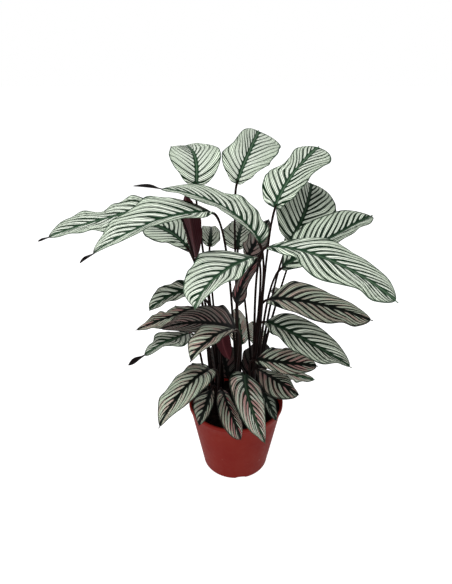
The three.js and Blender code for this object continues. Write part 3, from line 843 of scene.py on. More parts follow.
@dataclass(frozen=True)
class BladeBuilder:
    """Builds a leaf's fine blade. Its rows run along the lateral veins, so that the pleats follow them.

    Lengths are in millimetres. The rows leave the rib closer together at the base, by the factor first_rows,
    and sweep towards the tip. The pleats fade out beside the rib, at the margin, at the tip and where the
    blade is narrow.
    """

    pleat: float = 9.0
    rows_a_pleat: float = 5.0
    least_rows: int = 34
    first_rows: float = 0.45
    rows_a_tail: int = 60
    length_steps: int = 121
    rib_steps: int = 241
    sweep: float = 2.2
    sweep_at_base: float = 2.3
    straight: float = 0.42
    straight_at_tip: float = 0.45
    thickness: float = 0.9
    thinner_margin: float = 0.45
    keel: float = 1.4
    keel_lost: float = 0.8
    keel_radius: float = 1.9
    keel_radius_at_tip: float = 0.5
    widest_keel: float = 0.6
    groove: float = 0.35
    pleat_height: float = 0.42
    fade_by_rib: float = 3.5
    fade_by_width: float = 22
    fade_by_tip: float = 6
    arch: float = 0.05
    dry_edge: float = 0.03
    seed_step: float = 3.7
    base_rows: tuple[float, ...] = (0.04, 0.16, 0.4, 0.7)
    rib_columns: tuple[float, ...] = (0.5, 1.0)
    half_columns: tuple[float, ...] = (0.12, 0.27, 0.43, 0.58, 0.72, 0.84, 0.93, 0.98, 1.0)

    def ridge_at(self, leaf: Leaf, share: Array) -> Array:
        """Half the width of the keel under the rib, as a share of the blade's half width.

        Args:
            leaf: The leaf to build.
            share: The shares along the leaf.

        Returns:
            The keel's shares.
        """
        radius = self.keel_radius * (1 - share) + self.keel_radius_at_tip * share
        return np.minimum(self.widest_keel, radius / leaf.half_width(share))

    def net(self, leaf: Leaf) -> tuple[Array, Array, Array, float]:
        """Lays out the blade's net.

        Args:
            leaf: The leaf to build.

        Returns:
            Where each row leaves the rib, and each point's share along and across, and the rib's length.
        """
        line, _ = curve_points(leaf.rib_controls(), np.linspace(0, 1, self.length_steps))
        length = float(np.linalg.norm(np.diff(line, axis=0), axis=1).sum())
        body_end = 1 - leaf.tail
        count = max(self.least_rows, round(length / self.pleat * self.rows_a_pleat))
        even = np.linspace(0, 1, count + 1)
        body = even * (self.first_rows + (1 - self.first_rows) * even) * body_end
        body = np.concatenate([[0.0], body[1] * np.array(self.base_rows), body[1:]])
        tail = np.linspace(body_end, 1, 3 + round(self.rows_a_tail * leaf.tail))[1:]
        leaves = np.concatenate([body, tail])[:, None]
        ridge = self.ridge_at(leaf, leaves)
        near = [ridge * c for c in self.rib_columns]
        far = [ridge + (1 - ridge) * c for c in self.half_columns]
        one_side = np.concatenate([*near, *far], axis=1)
        across = np.concatenate([-one_side[:, ::-1], np.zeros_like(leaves), one_side], axis=1)
        side = np.abs(across)
        inside = np.minimum(leaves / body_end, 1)
        straight = self.straight + self.straight_at_tip * inside**2
        drawn = straight * side + (1 - straight) * side**3
        bend = 1 + (self.sweep + self.sweep_at_base * (1 - inside) ** 6) * drawn
        along = np.where(leaves < body_end, body_end * (1 - (1 - inside) ** bend), leaves)
        return leaves, along, across, length

    def build(self, leaf: Leaf) -> Skin:
        """Builds the closed skin of a leaf's blade.

        Args:
            leaf: The leaf to build.

        Returns:
            The skin, with the upper face's finish first and the under face's second.
        """
        leaves, share, across, length = self.net(leaf)
        dense = np.linspace(0, 1, self.rib_steps)
        line, tangents = curve_points(leaf.rib_controls(), dense)
        azimuth, elevation = (math.radians(a) for a in leaf.faces)
        level, rise = math.cos(elevation), math.sin(elevation)
        looks = np.array([math.cos(azimuth) * level, math.sin(azimuth) * level, rise])
        outs = carried_frames(tangents, looks, len(dense) // 2)
        place, along, out = (
            np.stack([np.interp(share, dense, table[:, k]) for k in range(3)], axis=-1)
            for table in (line, tangents, outs)
        )
        sideways = np.cross(along, out)
        half = leaf.half_width(share)
        side = np.abs(across)
        fold = math.radians(leaf.fold)
        reach = half * across * leaf.trim_at(share, across)
        fade = np.minimum(1, side * self.fade_by_rib) * (1 - side**3)
        fade = fade * np.minimum(1, half / self.fade_by_width)
        fade = fade * np.minimum(1, self.fade_by_tip * (1 - leaves))
        wave = -np.cos(2 * math.pi * (leaves * length / self.pleat - 0.5))
        lift = half * side * math.sin(fold) + leaf.ripple_at(share, across)
        lift = lift + self.pleat_height * fade * wave + self.arch * half * np.sin(math.pi * side)
        round_rib = np.sqrt(np.clip(1 - (side / self.ridge_at(leaf, leaves)) ** 2, 0, 1))
        thick = self.thickness / 2 * (1 - self.thinner_margin * side**2)
        upper_lift = lift + thick - self.groove * round_rib
        lower_lift = lift - thick - self.keel * (1 - self.keel_lost * share) * round_rib
        middle = place + tangents[0] * leaf.joint_gap + sideways * (reach * math.cos(fold))[..., None]
        upper = middle + out * upper_lift[..., None]
        lower = middle + out * lower_lift[..., None]
        dry = np.clip((share - (1 - leaf.tail) + self.dry_edge) / self.dry_edge, 0, 1)
        carried = {
            "vein": leaves * length / leaf.loose + np.zeros_like(share),
            "across": across,
            "rib": half * across,
            "edge": half * (1 - side),
            "along": share,
            "dry": dry if leaf.withers else np.zeros_like(share),
            "blush": np.full_like(share, leaf.blush),
            # Painted shade: how much the leaf's face is darkened.
            "shade": np.full_like(share, leaf.shade),
            "bold": np.full_like(share, leaf.bold),
            "seed": np.full_like(share, leaf.number * self.seed_step),
        }
        return self.close(upper, lower, carried)

    def close(self, upper: Array, lower: Array, carried: dict[str, Array]) -> Skin:
        """Joins an upper and a lower net at their margins and ends.

        Args:
            upper: The upper face's points, by row and column.
            lower: The lower face's points, alike.
            carried: What the points carry, by row and column.

        Returns:
            The closed skin.
        """
        rows, columns = upper.shape[:2]
        under = rows * columns
        faces: list[tuple[int, ...]] = []
        finish: list[int] = []

        def at(row: int, column: int) -> int:
            """The number of an upper point.

            Args:
                row: Its row.
                column: Its column.

            Returns:
                The number.
            """
            return row * columns + column

        for r in range(rows - 1):
            for c in range(columns - 1):
                quad = (at(r, c), at(r, c + 1), at(r + 1, c + 1), at(r + 1, c))
                faces.append(quad)
                faces.append(tuple(under + k for k in reversed(quad)))
                finish += [0, 1]
            left = (at(r, 0), at(r + 1, 0), under + at(r + 1, 0), under + at(r, 0))
            last = columns - 1
            right = (at(r, last), under + at(r, last), under + at(r + 1, last), at(r + 1, last))
            faces += [left, right]
            finish += [0, 0]
        for c in range(columns - 1):
            end = rows - 1
            faces.append((at(0, c), under + at(0, c), under + at(0, c + 1), at(0, c + 1)))
            faces.append((at(end, c), at(end, c + 1), under + at(end, c + 1), under + at(end, c)))
            finish += [0, 0]
        points = np.concatenate([upper.reshape(-1, 3), lower.reshape(-1, 3)])
        doubled = {key: np.concatenate([v.ravel(), v.ravel()]) for key, v in carried.items()}
        return Skin(points, faces, doubled, finish)


MINT, GREEN, SAGE, ASH, PAINTED_SHADE = Tone
# A leaf's shade and the dark tone are painted shade, for leaves in the shadow of others.
LEAVES = (
    Leaf(1, "d", (-65, 31, 522), (-66, 45, 562), (-86, 126, 564), 84, (-86, 62), 12, ripple=2.5,
         waves=2.5, belly=0.45, left=(78, 77, 88, 95, 97, 100, 99, 105, 138),
         right=(74, 81, 87, 94, 95, 97, 90, 55, 55)),
    Leaf(2, "e", (-1, 40, 523), (14, 53, 561), (36, 131, 588), 76, (-70, 50), 10, ripple=5, belly=0.5,
         tip_power=0.45, left=(70, 86, 99, 103, 94, 75, 75, 82, 89),
         right=(45, 62, 65, 85, 99, 104, 126, 141, 178)),
    Leaf(3, "g", (56, -10, 499), (83, 15, 544), (130, 80, 572), 70, (-112, 52), 0, ripple=6,
         belly=0.4, tip_power=0.42, left=(100, 107, 102, 109, 114, 67, 72, 102, 130),
         right=(46, 58, 66, 84, 77, 74, 110, 139, 160), bold=1.2, loose=1.1),
    Leaf(4, "c", (28, -111, 481), (-36, -70, 526), (-153, -20, 536), 74, (0, 75), 15, tail=0.16,
         tail_width=16, left=(60, 67, 99, 112, 85, 104, 150, 150, 150),
         right=(150, 116, 140, 119, 135, 122, 150, 150, 150), bold=1.2, loose=1.15),
    Leaf(5, "e", (-37, -91, 519), (-111, -151, 525), (-197, -190, 488), 84, (-130, 74), 12,
         ripple=2.5, tail=0.09, tail_width=10, left=(70, 89, 98, 71, 50, 51, 71, 64, 50),
         right=(96, 140, 140, 138, 124, 115, 105, 115, 92), bold=1.15, loose=1.4),
    Leaf(6, "a", (-101, -51, 519), (-187, -82, 507), (-273, -110, 485), 72, (-110, 80), 0, waves=5,
         tail=0.08, left=(150, 150, 142, 150, 107, 102, 58, 55, 55),
         right=(101, 150, 130, 113, 64, 103, 126, 150, 150), bold=1.2, loose=1.35),
    Leaf(7, "d", (-81, 40, 413), (-113, 60, 435), (-164, 110, 435), 50, (-110, 66), 0,
         left=(56, 69, 80, 86, 103, 131, 142, 149, 149), right=(74, 91, 111, 132, 164, 170, 138, 100, 100),
         tone=GREEN, bold=1.1),
    Leaf(8, "d", (-65, -10, 415), (-70, -18, 465), (-80, -5, 520), 54, (90, 5), 58, ripple=2,
         belly=0.55, tone=SAGE),
    Leaf(9, "d", (-47, 100, 392), (-45, 125, 408), (-45, 190, 397), 40, (-90, 70), 20,
         left=(94, 91, 89, 91, 94, 92, 102, 129, 170), right=(93, 110, 98, 88, 83, 77, 45, 45, 54),
         tone=SAGE, blush=0.1, shade=0.1, bold=0.9),
    Leaf(10, "e", (2, 60, 403), (6, 80, 428), (13, 140, 424), 56, (-86, 70), 10,
         left=(115, 110, 108, 109, 105, 82, 79, 98, 131), right=(65, 67, 67, 75, 80, 80, 85, 90, 90),
         tone=SAGE, blush=0.1, shade=0.1, bold=0.9),
    Leaf(11, "g", (16, 20, 405), (31, 30, 429), (53, 60, 458), 40, (-125, 45), 0, tone=PAINTED_SHADE,
         blush=0.3, shade=0.2),
    Leaf(13, "c", (22, -130, 469), (-28, -201, 474), (-55, -230, 444), 80, (-135, 79), 12, ripple=2.5,
         left=(45, 63, 77, 80, 84, 72, 60, 45, 45), right=(160, 160, 139, 109, 100, 102, 95, 101, 121),
         bold=1.2, loose=1.15),
    Leaf(14, "a", (-65, -40, 378), (-102, -65, 378), (-134, -80, 361), 44, (-90, 70), 12, lean=0.7,
         left=(60, 71, 84, 70, 60, 62, 60, 60, 60), right=(140, 140, 105, 76, 107, 119, 95, 96, 103),
         tone=GREEN, blush=0.2, bold=1.4, loose=1.15),
    Leaf(15, "a", (-63, -60, 355), (-104, -100, 360), (-151, -110, 345), 44, (-106, 82), 4, ripple=4,
         waves=4, lean=0.7, left=(60, 82, 79, 60, 92, 66, 100, 67, 60),
         right=(86, 125, 70, 88, 60, 82, 110, 60, 60), tone=ASH, blush=0.7, bold=1.1),
    Leaf(16, "b", (-2, -67, 320), (-55, -125, 366), (-109, -160, 376), 62, (-72, 54), 10, ripple=1.5,
         belly=0.35, left=(40, 63, 75, 77, 74, 76, 69, 61, 58),
         right=(150, 112, 97, 86, 83, 76, 67, 58, 35), tone=PAINTED_SHADE, blush=0.35, shade=0.1, bold=1.3),
    Leaf(17, "b", (-4, -150, 369), (-35, -197, 384), (-64, -215, 359), 48, (178, 79), 12, ripple=1.5,
         left=(50, 62, 80, 74, 70, 92, 71, 52, 54), right=(199, 187, 151, 129, 126, 127, 125, 157, 199),
         tone=ASH, blush=0.6, bold=1.1, loose=1.1),
    Leaf(18, "a", (-73, -71, 315), (-108, -109, 322), (-162, -130, 297), 44, (-153, 80), 13, tail=0.2,
         tail_width=14, lean=0.7, left=(55, 79, 108, 142, 150, 76, 63, 95, 102),
         right=(55, 55, 81, 67, 76, 137, 150, 81, 82), blush=0.1, shade=0.1, bold=1.3),
    Leaf(19, "a", (-38, -91, 261), (-76, -145, 269), (-116, -180, 220), 60, (-143, 69), 23,
         ripple=1.5, tip_power=0.75, left=(51, 103, 129, 138, 134, 140, 132, 109, 96),
         right=(160, 103, 73, 53, 72, 73, 77, 118, 118), tone=ASH, blush=0.5, bold=1.1, loose=1.1),
    Leaf(20, "a", (-40, -60, 202), (-49, -95, 194), (-62, -110, 166), 36, (-136, 56), 1, ripple=2,
         waves=2, tip_power=0.8, left=(45, 45, 52, 60, 67, 61, 62, 63, 74),
         right=(170, 170, 170, 160, 151, 146, 156, 170, 170), tone=ASH, blush=0.5, shade=0.4, bold=1.3),
    Leaf(21, "b", (-26, -60, 201), (-11, -115, 200), (6, -130, 154), 46, (-49, 57), 0, ripple=1,
         waves=2, left=(67, 52, 45, 45, 45, 52, 61, 74, 77),
         right=(67, 68, 75, 82, 94, 105, 110, 112, 115), tone=ASH, blush=1, shade=0.1, bold=1.3),
    Leaf(22, "b", (11, -81, 249), (18, -151, 240), (42, -164, 177), 52, (-39, 48), 0, ripple=1,
         waves=2, left=(160, 132, 116, 107, 104, 105, 107, 103, 93),
         right=(124, 124, 113, 103, 101, 98, 90, 78, 55), tone=GREEN, blush=0.8, bold=1.2, loose=1.15),
    Leaf(23, "c", (33, -51, 236), (62, -98, 247), (96, -115, 231), 48, (-112, 78), 0, ripple=1,
         left=(45, 45, 45, 52, 66, 74, 72, 63, 45), right=(55, 71, 87, 104, 121, 141, 148, 143, 132),
         tone=ASH, blush=0.7, shade=0.35, bold=1.4),
    Leaf(24, "c", (45, -30, 173), (55, -55, 165), (68, -65, 139), 24, (-62, 50), 0, ripple=2, waves=2,
         left=(110,) * 9, right=(72,) * 9, tone=SAGE, shade=0.6, bold=1.2),
    Leaf(25, "c", (30, -61, 260), (72, -96, 278), (123, -105, 278), 54, (-142, 70), 0, ripple=1,
         belly=0.4, left=(154, 122, 107, 107, 112, 112, 123, 147, 149),
         right=(45, 45, 55, 70, 79, 88, 95, 91, 93), tone=ASH, blush=0.7, shade=0.05, bold=1.3, loose=1.1),
    Leaf(26, "g", (62, 20, 189), (99, 25, 173), (145, 20, 163), 30, (-51, 63), 0, ripple=4, waves=4,
         blush=0.7, bold=0.8),
    Leaf(27, "c", (42, -88, 346), (93, -138, 346), (157, -171, 320), 64, (-95, 73), 10, ripple=1.2,
         belly=0.38, left=(113, 108, 98, 100, 104, 100, 101, 108, 105),
         right=(45, 69, 66, 86, 101, 100, 113, 111, 51), tone=GREEN, blush=0.1, bold=1.3, loose=1.2),
    Leaf(28, "c", (44, -90, 385), (107, -139, 404), (178, -170, 395), 68, (-132, 74), 4, ripple=1.2,
         belly=0.36, left=(161, 129, 108, 98, 89, 73, 71, 78, 72),
         right=(54, 61, 72, 84, 98, 112, 124, 109, 152), tone=ASH, blush=0.45, bold=1.35, loose=1.2),
    Leaf(29, "c", (37, -129, 484), (108, -200, 495), (180, -250, 464), 78, (-85, 82), 2, ripple=1.5,
         left=(127, 124, 117, 114, 102, 86, 92, 104, 118), right=(53, 54, 51, 87, 110, 116, 106, 92, 138),
         bold=1.25, loose=1.35),
    Leaf(30, "g", (65, -61, 423), (127, -75, 473), (197, -37, 497), 68, (-138, 58), 8, ripple=2.5,
         belly=0.5, tip_power=0.5, left=(170, 170, 145, 148, 149, 132, 132, 154, 170),
         right=(74, 80, 81, 79, 60, 50, 63, 52, 75), tone=GREEN, shade=0.08, bold=1.35, loose=1.1),
    Leaf(31, "g", (85, 20, 435), (108, 40, 475), (126, 111, 505), 94, (-72, 47), 11, ripple=4,
         tip_power=0.5, left=(84, 89, 99, 103, 103, 102, 100, 98, 94),
         right=(45, 58, 74, 91, 101, 115, 112, 120, 130), tone=GREEN, shade=0.1, bold=1.3),
    Leaf(32, "e", (-1, -41, 350), (11, -45, 396), (38, -30, 438), 30, (-140, 24), 0, ripple=2,
         waves=2, left=(164, 136, 114, 89, 59, 49, 51, 58, 69),
         right=(103, 121, 105, 73, 77, 88, 92, 101, 125), tone=PAINTED_SHADE, blush=0.9, shade=0.35, bold=1.2),
    Leaf(33, "e", (9, 30, 232), (6, 46, 260), (0, 90, 275), 44, (-94, 54), 0, ripple=2, waves=2,
         left=(90,) * 9, right=(75,) * 9, blush=0.8, bold=0.5),
    Leaf(34, "g", (38, 42, 222), (37, 66, 240), (31, 92, 245), 44, (-80, 55), 0, ripple=2, waves=2,
         left=(70, 70, 70, 70, 70, 75, 80, 80, 80), right=(105, 105, 100, 85, 65, 55, 50, 50, 50),
         blush=0.7, bold=0.5),
    # Painted shade: leaves 36 and 37 are darkened nearly to black to fill the shaded middle of the plant.
    Leaf(36, "d", (-12, 42, 150), (-24, 80, 172), (-40, 122, 174), 58, (-90, 68), 8, waves=2,
         tone=PAINTED_SHADE, blush=0.6, shade=0.85),
    Leaf(37, "e", (24, 45, 150), (42, 82, 172), (57, 122, 180), 54, (-90, 68), 8, waves=2, tone=PAINTED_SHADE,
         blush=0.6, shade=0.85),
    Leaf(38, "d", (-45, 30, 166), (-85, 62, 146), (-120, 84, 104), 44, (-110, 65), 6, waves=2,
         tone=ASH, blush=0.7, shade=0.2),
    Leaf(40, "d", (-38, 60, 270), (-68, 110, 225), (-112, 150, 169), 58, (120, 50), 8, tone=SAGE,
         blush=0.3, bold=1.1),
    Leaf(41, "g", (66, 60, 246), (105, 108, 205), (158, 140, 150), 60, (60, 50), 8, tone=SAGE,
         blush=0.4, bold=1.1),
    Leaf(42, "g", (76, 52, 318), (112, 105, 296), (185, 150, 262), 62, (60, 65), 8, tone=SAGE,
         blush=0.2, bold=1.1),
    Leaf(43, "d", (-58, 40, 322), (-110, 90, 314), (-148, 130, 278), 42, (130, 75), 8, tone=ASH,
         blush=0.5, bold=1.1),
    Leaf(44, "g", (50, 34, 178), (98, 75, 183), (148, 104, 150), 44, (60, 78), 6, tone=ASH, blush=0.5,
         shade=0.1, bold=1.1),
    Leaf(45, "d", (-70, 60, 395), (-125, 110, 415), (-190, 150, 405), 60, (120, 75), 8, tone=GREEN,
         bold=1.1),
    Leaf(46, "g", (96, 60, 400), (135, 120, 420), (198, 160, 408), 66, (60, 75), 8, tone=GREEN,
         bold=1.1),
    Leaf(47, "d", (-25, -50, 318), (-22, -58, 291), (-12, -62, 262), 25, (88, 14), 12, ripple=1.5,
         waves=2, tone=SAGE),
)


@dataclass(frozen=True)
class Foliage:
    """All leaf blades."""

    leaves: Sequence[Leaf]
    builder: BladeBuilder = BladeBuilder()

    def build(self) -> None:
        """Builds each leaf's blade and sets it in the frame."""
        upper = {}
        for tone in Tone:
            name = f"calathea_leaf_{tone.name.lower()}"
            upper[tone] = StarLeafUpper(name=name, tone=tone).build()
        under = StarLeafUnder().build()
        for leaf in self.leaves:
            skin = self.builder.build(leaf)
            piece = skin.to_object(f"{leaf.node}_blade", [upper[leaf.tone], under])
            place_piece(piece, leaf.node)


@dataclass(frozen=True)
class Shoot:
    """One shoot: the sheath that stands in the mix and the leaf stalks that leave it. Millimetres.

    A stalk starts root_out from the sheath's axis and root_up above the mix. It swells to a joint under its
    blade and is drawn on under the rib to a point, with the radii end_radii at end_reach past the joint. The
    sheath tapers above its knee, and old stalk bases round it make its section lobed.
    """

    key: str
    x: float
    y: float
    mix_top: float
    sunk: float = 34
    radius: float = 8
    neck_radius: float = 5
    height: float = 82
    knee: float = 6
    foot_share: float = 0.8
    foot_height: float = 0.4
    end_share: float = 0.75
    end_height: float = 3
    lobes: int = 3
    lobe_depth: float = 0.07
    lobe_rise: float = 25
    lobe_most: float = 1.03
    root_out: float = 3
    root_up: float = 10
    upright: float = 0.5
    straight_top: float = 34
    root_radius: float = 2.4
    tip_radius: float = 1.4
    joint_radius: float = 1.9
    joint_share: float = 0.86
    joint_start: float = 0.03
    joint_length: float = 0.05
    end_reach: tuple[float, ...] = (1.5, 4.0, 7.0)
    end_radii: tuple[float, ...] = (1.7, 1.3, 0.8)
    stalk_sides: int = 14
    stalk_steps: int = 44
    sheath_sides: int = 36
    sheath_rings: int = 26

    def stalk_line(self, leaf: Leaf) -> Array:
        """The control points of a stalk's curve, from its root to its leaf's base.

        Args:
            leaf: The leaf that the stalk carries.

        Returns:
            Four control points.
        """
        base = np.array(leaf.base, float)
        _, tangents = curve_points(leaf.rib_controls(), np.array([0.0]))
        turn = math.atan2(base[1] - self.y, base[0] - self.x)
        out_x, out_y = self.root_out * math.cos(turn), self.root_out * math.sin(turn)
        root = np.array([self.x + out_x, self.y + out_y, self.mix_top + self.root_up])
        low = root + (base - root) * np.array([leaf.lean, leaf.lean, self.upright])
        return np.array([root, low, base - tangents[0] * self.straight_top, base])

    def stalk(self, leaf: Leaf) -> tuple[Array, Array]:
        """The rings of a leaf stalk, drawn on under the blade's own rib.

        Args:
            leaf: The leaf that the stalk carries.

        Returns:
            The rings' points and the share of the way up of each ring.
        """
        share = np.linspace(0, 1, self.stalk_steps + 1)
        line, along = curve_points(self.stalk_line(leaf), share)
        radius = self.root_radius + (self.tip_radius - self.root_radius) * share
        swell = np.clip((share - self.joint_share + self.joint_start) / self.joint_length, 0, 1)
        radius = radius + (self.joint_radius - radius) * (swell * swell * (3 - 2 * swell))
        added = len(self.end_reach)
        drawn = [line[-1] + along[-1] * reach for reach in self.end_reach]
        line = np.concatenate([line, drawn])
        along = np.concatenate([along, np.repeat(along[-1:], added, axis=0)])
        radius = np.concatenate([radius, self.end_radii])
        share = np.concatenate([share, [1.0] * added])
        out = carried_frames(along, np.array([1.0, 0.2, 0.1]), 0)
        side = np.cross(along, out)
        turn = np.linspace(0, 2 * math.pi, self.stalk_sides, endpoint=False)
        round_it = out[:, None] * np.cos(turn)[:, None] + side[:, None] * np.sin(turn)[:, None]
        return line[:, None] + radius[:, None, None] * round_it, share

    def sheath(self) -> tuple[Array, Array]:
        """The rings of the sheath: old stalk bases wrapped round each other, so its section is lobed.

        Returns:
            The rings' points and a share of 0 for each ring.
        """
        heights = np.linspace(-self.sunk, self.height, self.sheath_rings)
        foot = [-self.sunk, -self.sunk * self.foot_height]
        low = np.interp(heights, foot, [self.radius * self.foot_share, self.radius])
        high = np.interp(heights, [self.knee, self.height], [self.radius, self.neck_radius])
        radius = np.where(heights < self.knee, low, high)
        radius = radius * np.where(heights > self.height - self.end_height, self.end_share, 1)
        turn = np.linspace(0, 2 * math.pi, self.sheath_sides, endpoint=False)
        phase = self.lobes * turn[None] + heights[:, None] / self.lobe_rise + self.x
        lobed = np.minimum(1 + self.lobe_depth * np.cos(phase), self.lobe_most)
        flat = radius[:, None] * lobed
        level = np.broadcast_to(self.mix_top + heights[:, None], flat.shape)
        rings = np.stack([self.x + flat * np.cos(turn), self.y + flat * np.sin(turn), level], axis=-1)
        return rings, np.zeros(len(heights))

    def build(self, leaves: Iterable[Leaf], skin: bpy.types.Material) -> None:
        """Builds the shoot and sets it in the frame.

        Args:
            leaves: The leaves that it carries.
            skin: The stalks' material.
        """
        tubes = [self.sheath()] + [self.stalk(leaf) for leaf in leaves]
        points: list[Array] = []
        faces: list[tuple[int, ...]] = []
        heights: list[Array] = []
        start = 0
        for rings, share in tubes:
            count, sides = rings.shape[:2]
            faces += [tuple(start + k for k in face) for face in tube_faces(count, sides)]
            points.append(rings.reshape(-1, 3))
            heights.append(np.repeat(share, sides))
            start += count * sides
        made = Skin(np.concatenate(points), faces, {"height": np.concatenate(heights)})
        piece = made.to_object(f"shoot_{self.key}_stalks", [skin])
        place_piece(piece, f"shoot_{self.key}")


def ring(radius: float, height: float, sides: int) -> Array:
    """A level circle of points about the pot's axis.

    Args:
        radius: Its radius.
        height: Its height.
        sides: How many points it has.

    Returns:
        The points, one a row.
    """
    turn = np.linspace(0, 2 * math.pi, sides, endpoint=False)
    return np.stack([radius * np.cos(turn), radius * np.sin(turn), np.full_like(turn, height)], 1)


def tube_faces(rings: int, sides: int) -> list[tuple[int, ...]]:
    """The faces of a closed tube over rings of points.

    Args:
        rings: How many rings.
        sides: How many points a ring.

    Returns:
        The faces, with both ends capped.
    """
    faces: list[tuple[int, ...]] = []
    for r in range(rings - 1):
        for k in range(sides):
            after = (k + 1) % sides
            faces.append((r * sides + k, r * sides + after, (r + 1) * sides + after, (r + 1) * sides + k))
    faces.append(tuple(reversed(range(sides))))
    faces.append(tuple(range((rings - 1) * sides, rings * sides)))
    return faces


@dataclass(frozen=True)
class NurseryPot:
    """The nursery pot: a tapered shell with a rim band, a raised channel in its floor, notches and drains.

    Its rim radius and height come from the frame. The rest is in millimetres, and turns are in degrees. The
    wall leaves the foot foot_flare further out and foot_bend up, and inside it starts wall_start above the
    channel.
    """

    rim_radius: float
    height: float
    foot_radius: float = 57
    foot_flare: float = 2.9
    foot_bend: float = 5
    wall: float = 1.6
    wall_start: float = 4
    band_height: float = 8
    band_depth: float = 2.2
    lip_radius: float = 1.1
    lip_width: float = 0.9
    lip_inner_radius: float = 0.6
    floor: float = 2.4
    floor_ring: float = 20
    channel_inner: float = 43
    channel_height: float = 6
    notches: int = 4
    notch_width: float = 21
    notch_height: float = 4.5
    notch_depth: float = 7
    notch_turn: float = 8.4
    drains: int = 6
    drain_radius: float = 4
    drain_depth: float = 6
    sides: int = 144
    tool_sides: int = 28
    sharp_from: float = 40

    def profile(self) -> list[tuple[float, float]]:
        """The pot's section.

        Returns:
            Pairs of radius and height, from the middle of the foot round to the floor inside.
        """
        foot, rim, top, wall = self.foot_radius, self.rim_radius, self.height, self.wall
        flare, bend, lip, edge = self.foot_flare, self.foot_bend, self.lip_radius, self.lip_inner_radius
        band = top - self.band_height
        under = rim - self.band_depth
        inside = self.channel_height + self.floor
        start = inside + self.wall_start
        folded = rim - wall - self.lip_width
        quarter = [np.radians(range(0, 91, step)) for step in (18, 30, 45)]
        foot_arc = [(foot + flare * math.sin(a), bend - bend * math.cos(a)) for a in quarter[0]]
        lip_arc = [(rim - lip + lip * math.cos(a), top - lip + lip * math.sin(a)) for a in quarter[1]]
        inner_arc = [(folded - edge * math.sin(a), top - edge + edge * math.cos(a)) for a in quarter[2]]
        up, down = np.linspace(0, 1, 9)[1:-1], np.linspace(0, 1, 7)
        rise = [(foot + flare + (under - foot - flare) * k, bend + (band - bend) * k) for k in up]
        fall = [(under - wall + (foot + flare - under) * k, band + (start - band) * k) for k in down]
        # Offsets of 1.3 and less soften the corners, as the mould does.
        return [
            (0, 0),
            (self.floor_ring, 0),
            (self.channel_inner - 1, 0),
            (self.channel_inner, self.channel_height),
            (foot - wall - 0.8, self.channel_height),
            (foot - wall, 0.4),
            (foot - wall + 0.4, 0),
            *foot_arc,
            *rise,
            (under, band - 0.6),
            (under + 0.4, band),
            (rim - 0.6, band + 0.5),
            (rim, band + 1.3),
            *lip_arc,
            *inner_arc,
            *fall,
            (foot - wall - 0.6, inside),
            (self.channel_inner + 1, inside),
            (self.channel_inner, self.floor),
            (self.floor_ring, self.floor),
            (0, self.floor),
        ]

    def shell(self) -> Skin:
        """Turns the section about the pot's axis.

        Returns:
            The shell, before the notches and drains are cut.
        """
        profile = self.profile()
        rings = [ring(r, z, self.sides) for r, z in profile[1:-1]]
        points = np.concatenate([[[0, 0, profile[0][1]]], *rings, [[0, 0, profile[-1][1]]]])
        last = len(points) - 1
        faces: list[tuple[int, ...]] = []
        for k in range(self.sides):
            after = (k + 1) % self.sides
            faces.append((0, 1 + after, 1 + k))
            for r in range(len(rings) - 1):
                low = 1 + r * self.sides
                faces.append((low + k, low + after, low + self.sides + after, low + self.sides + k))
            low = 1 + (len(rings) - 1) * self.sides
            faces.append((last, low + k, low + after))
        return Skin(points, faces)

    def cutter(self, name: str, half: Point, place: Point, turn: float, upright: bool) -> bpy.types.Object:
        """A round cutting tool, scaled and set in the foot.

        Args:
            name: Its name.
            half: Its half sizes in millimetres along the pot's axes, before it is turned.
            place: Its middle in millimetres before it is turned about the pot's axis.
            turn: That turn, in degrees.
            upright: Whether its axis stands up, and not out of the pot.

        Returns:
            The tool.
        """
        ends = np.stack([ring(1, end, self.tool_sides) for end in (-1, 1)])
        laid = ends if upright else np.roll(ends, 1, axis=-1)
        a = math.radians(turn)
        spin = np.array([[math.cos(a), math.sin(a), 0], [-math.sin(a), math.cos(a), 0], [0, 0, 1]])
        points = (laid * np.array(half) + np.array(place)) @ spin
        return Skin(points.reshape(-1, 3), tube_faces(2, self.tool_sides)).to_object(name, [])

    def build(self, plastic: bpy.types.Material) -> None:
        """Builds the pot and sets it in the frame.

        Args:
            plastic: The pot's material.
        """
        piece = self.shell().to_object("pot_shell", [plastic])
        tools = []
        for k in range(self.notches):
            turn = self.notch_turn + 360 * k / self.notches
            half = (self.notch_depth, self.notch_width / 2, self.notch_height)
            tools.append(self.cutter(f"notch_{k}", half, (self.foot_radius, 0, 0), turn, False))
        middle = (self.channel_inner + self.foot_radius - self.wall) / 2
        for k in range(self.drains):
            turn = self.notch_turn + 360 * (k + 0.5) / self.drains
            half = (self.drain_radius, self.drain_radius, self.drain_depth)
            tools.append(self.cutter(f"drain_{k}", half, (middle, 0, self.channel_height), turn, True))
        for tool in tools:
            cut = piece.modifiers.new(tool.name, "BOOLEAN")
            cut.operation = "DIFFERENCE"
            cut.object = tool
        bpy.context.view_layer.update()
        seen = piece.evaluated_get(bpy.context.evaluated_depsgraph_get())
        whole = bpy.data.meshes.new_from_object(seen)
        piece.modifiers.clear()
        piece.data = whole
        whole.set_sharp_from_angle(angle=math.radians(self.sharp_from))
        for tool in tools:
            bpy.data.objects.remove(tool)
        place_piece(piece, "pot")


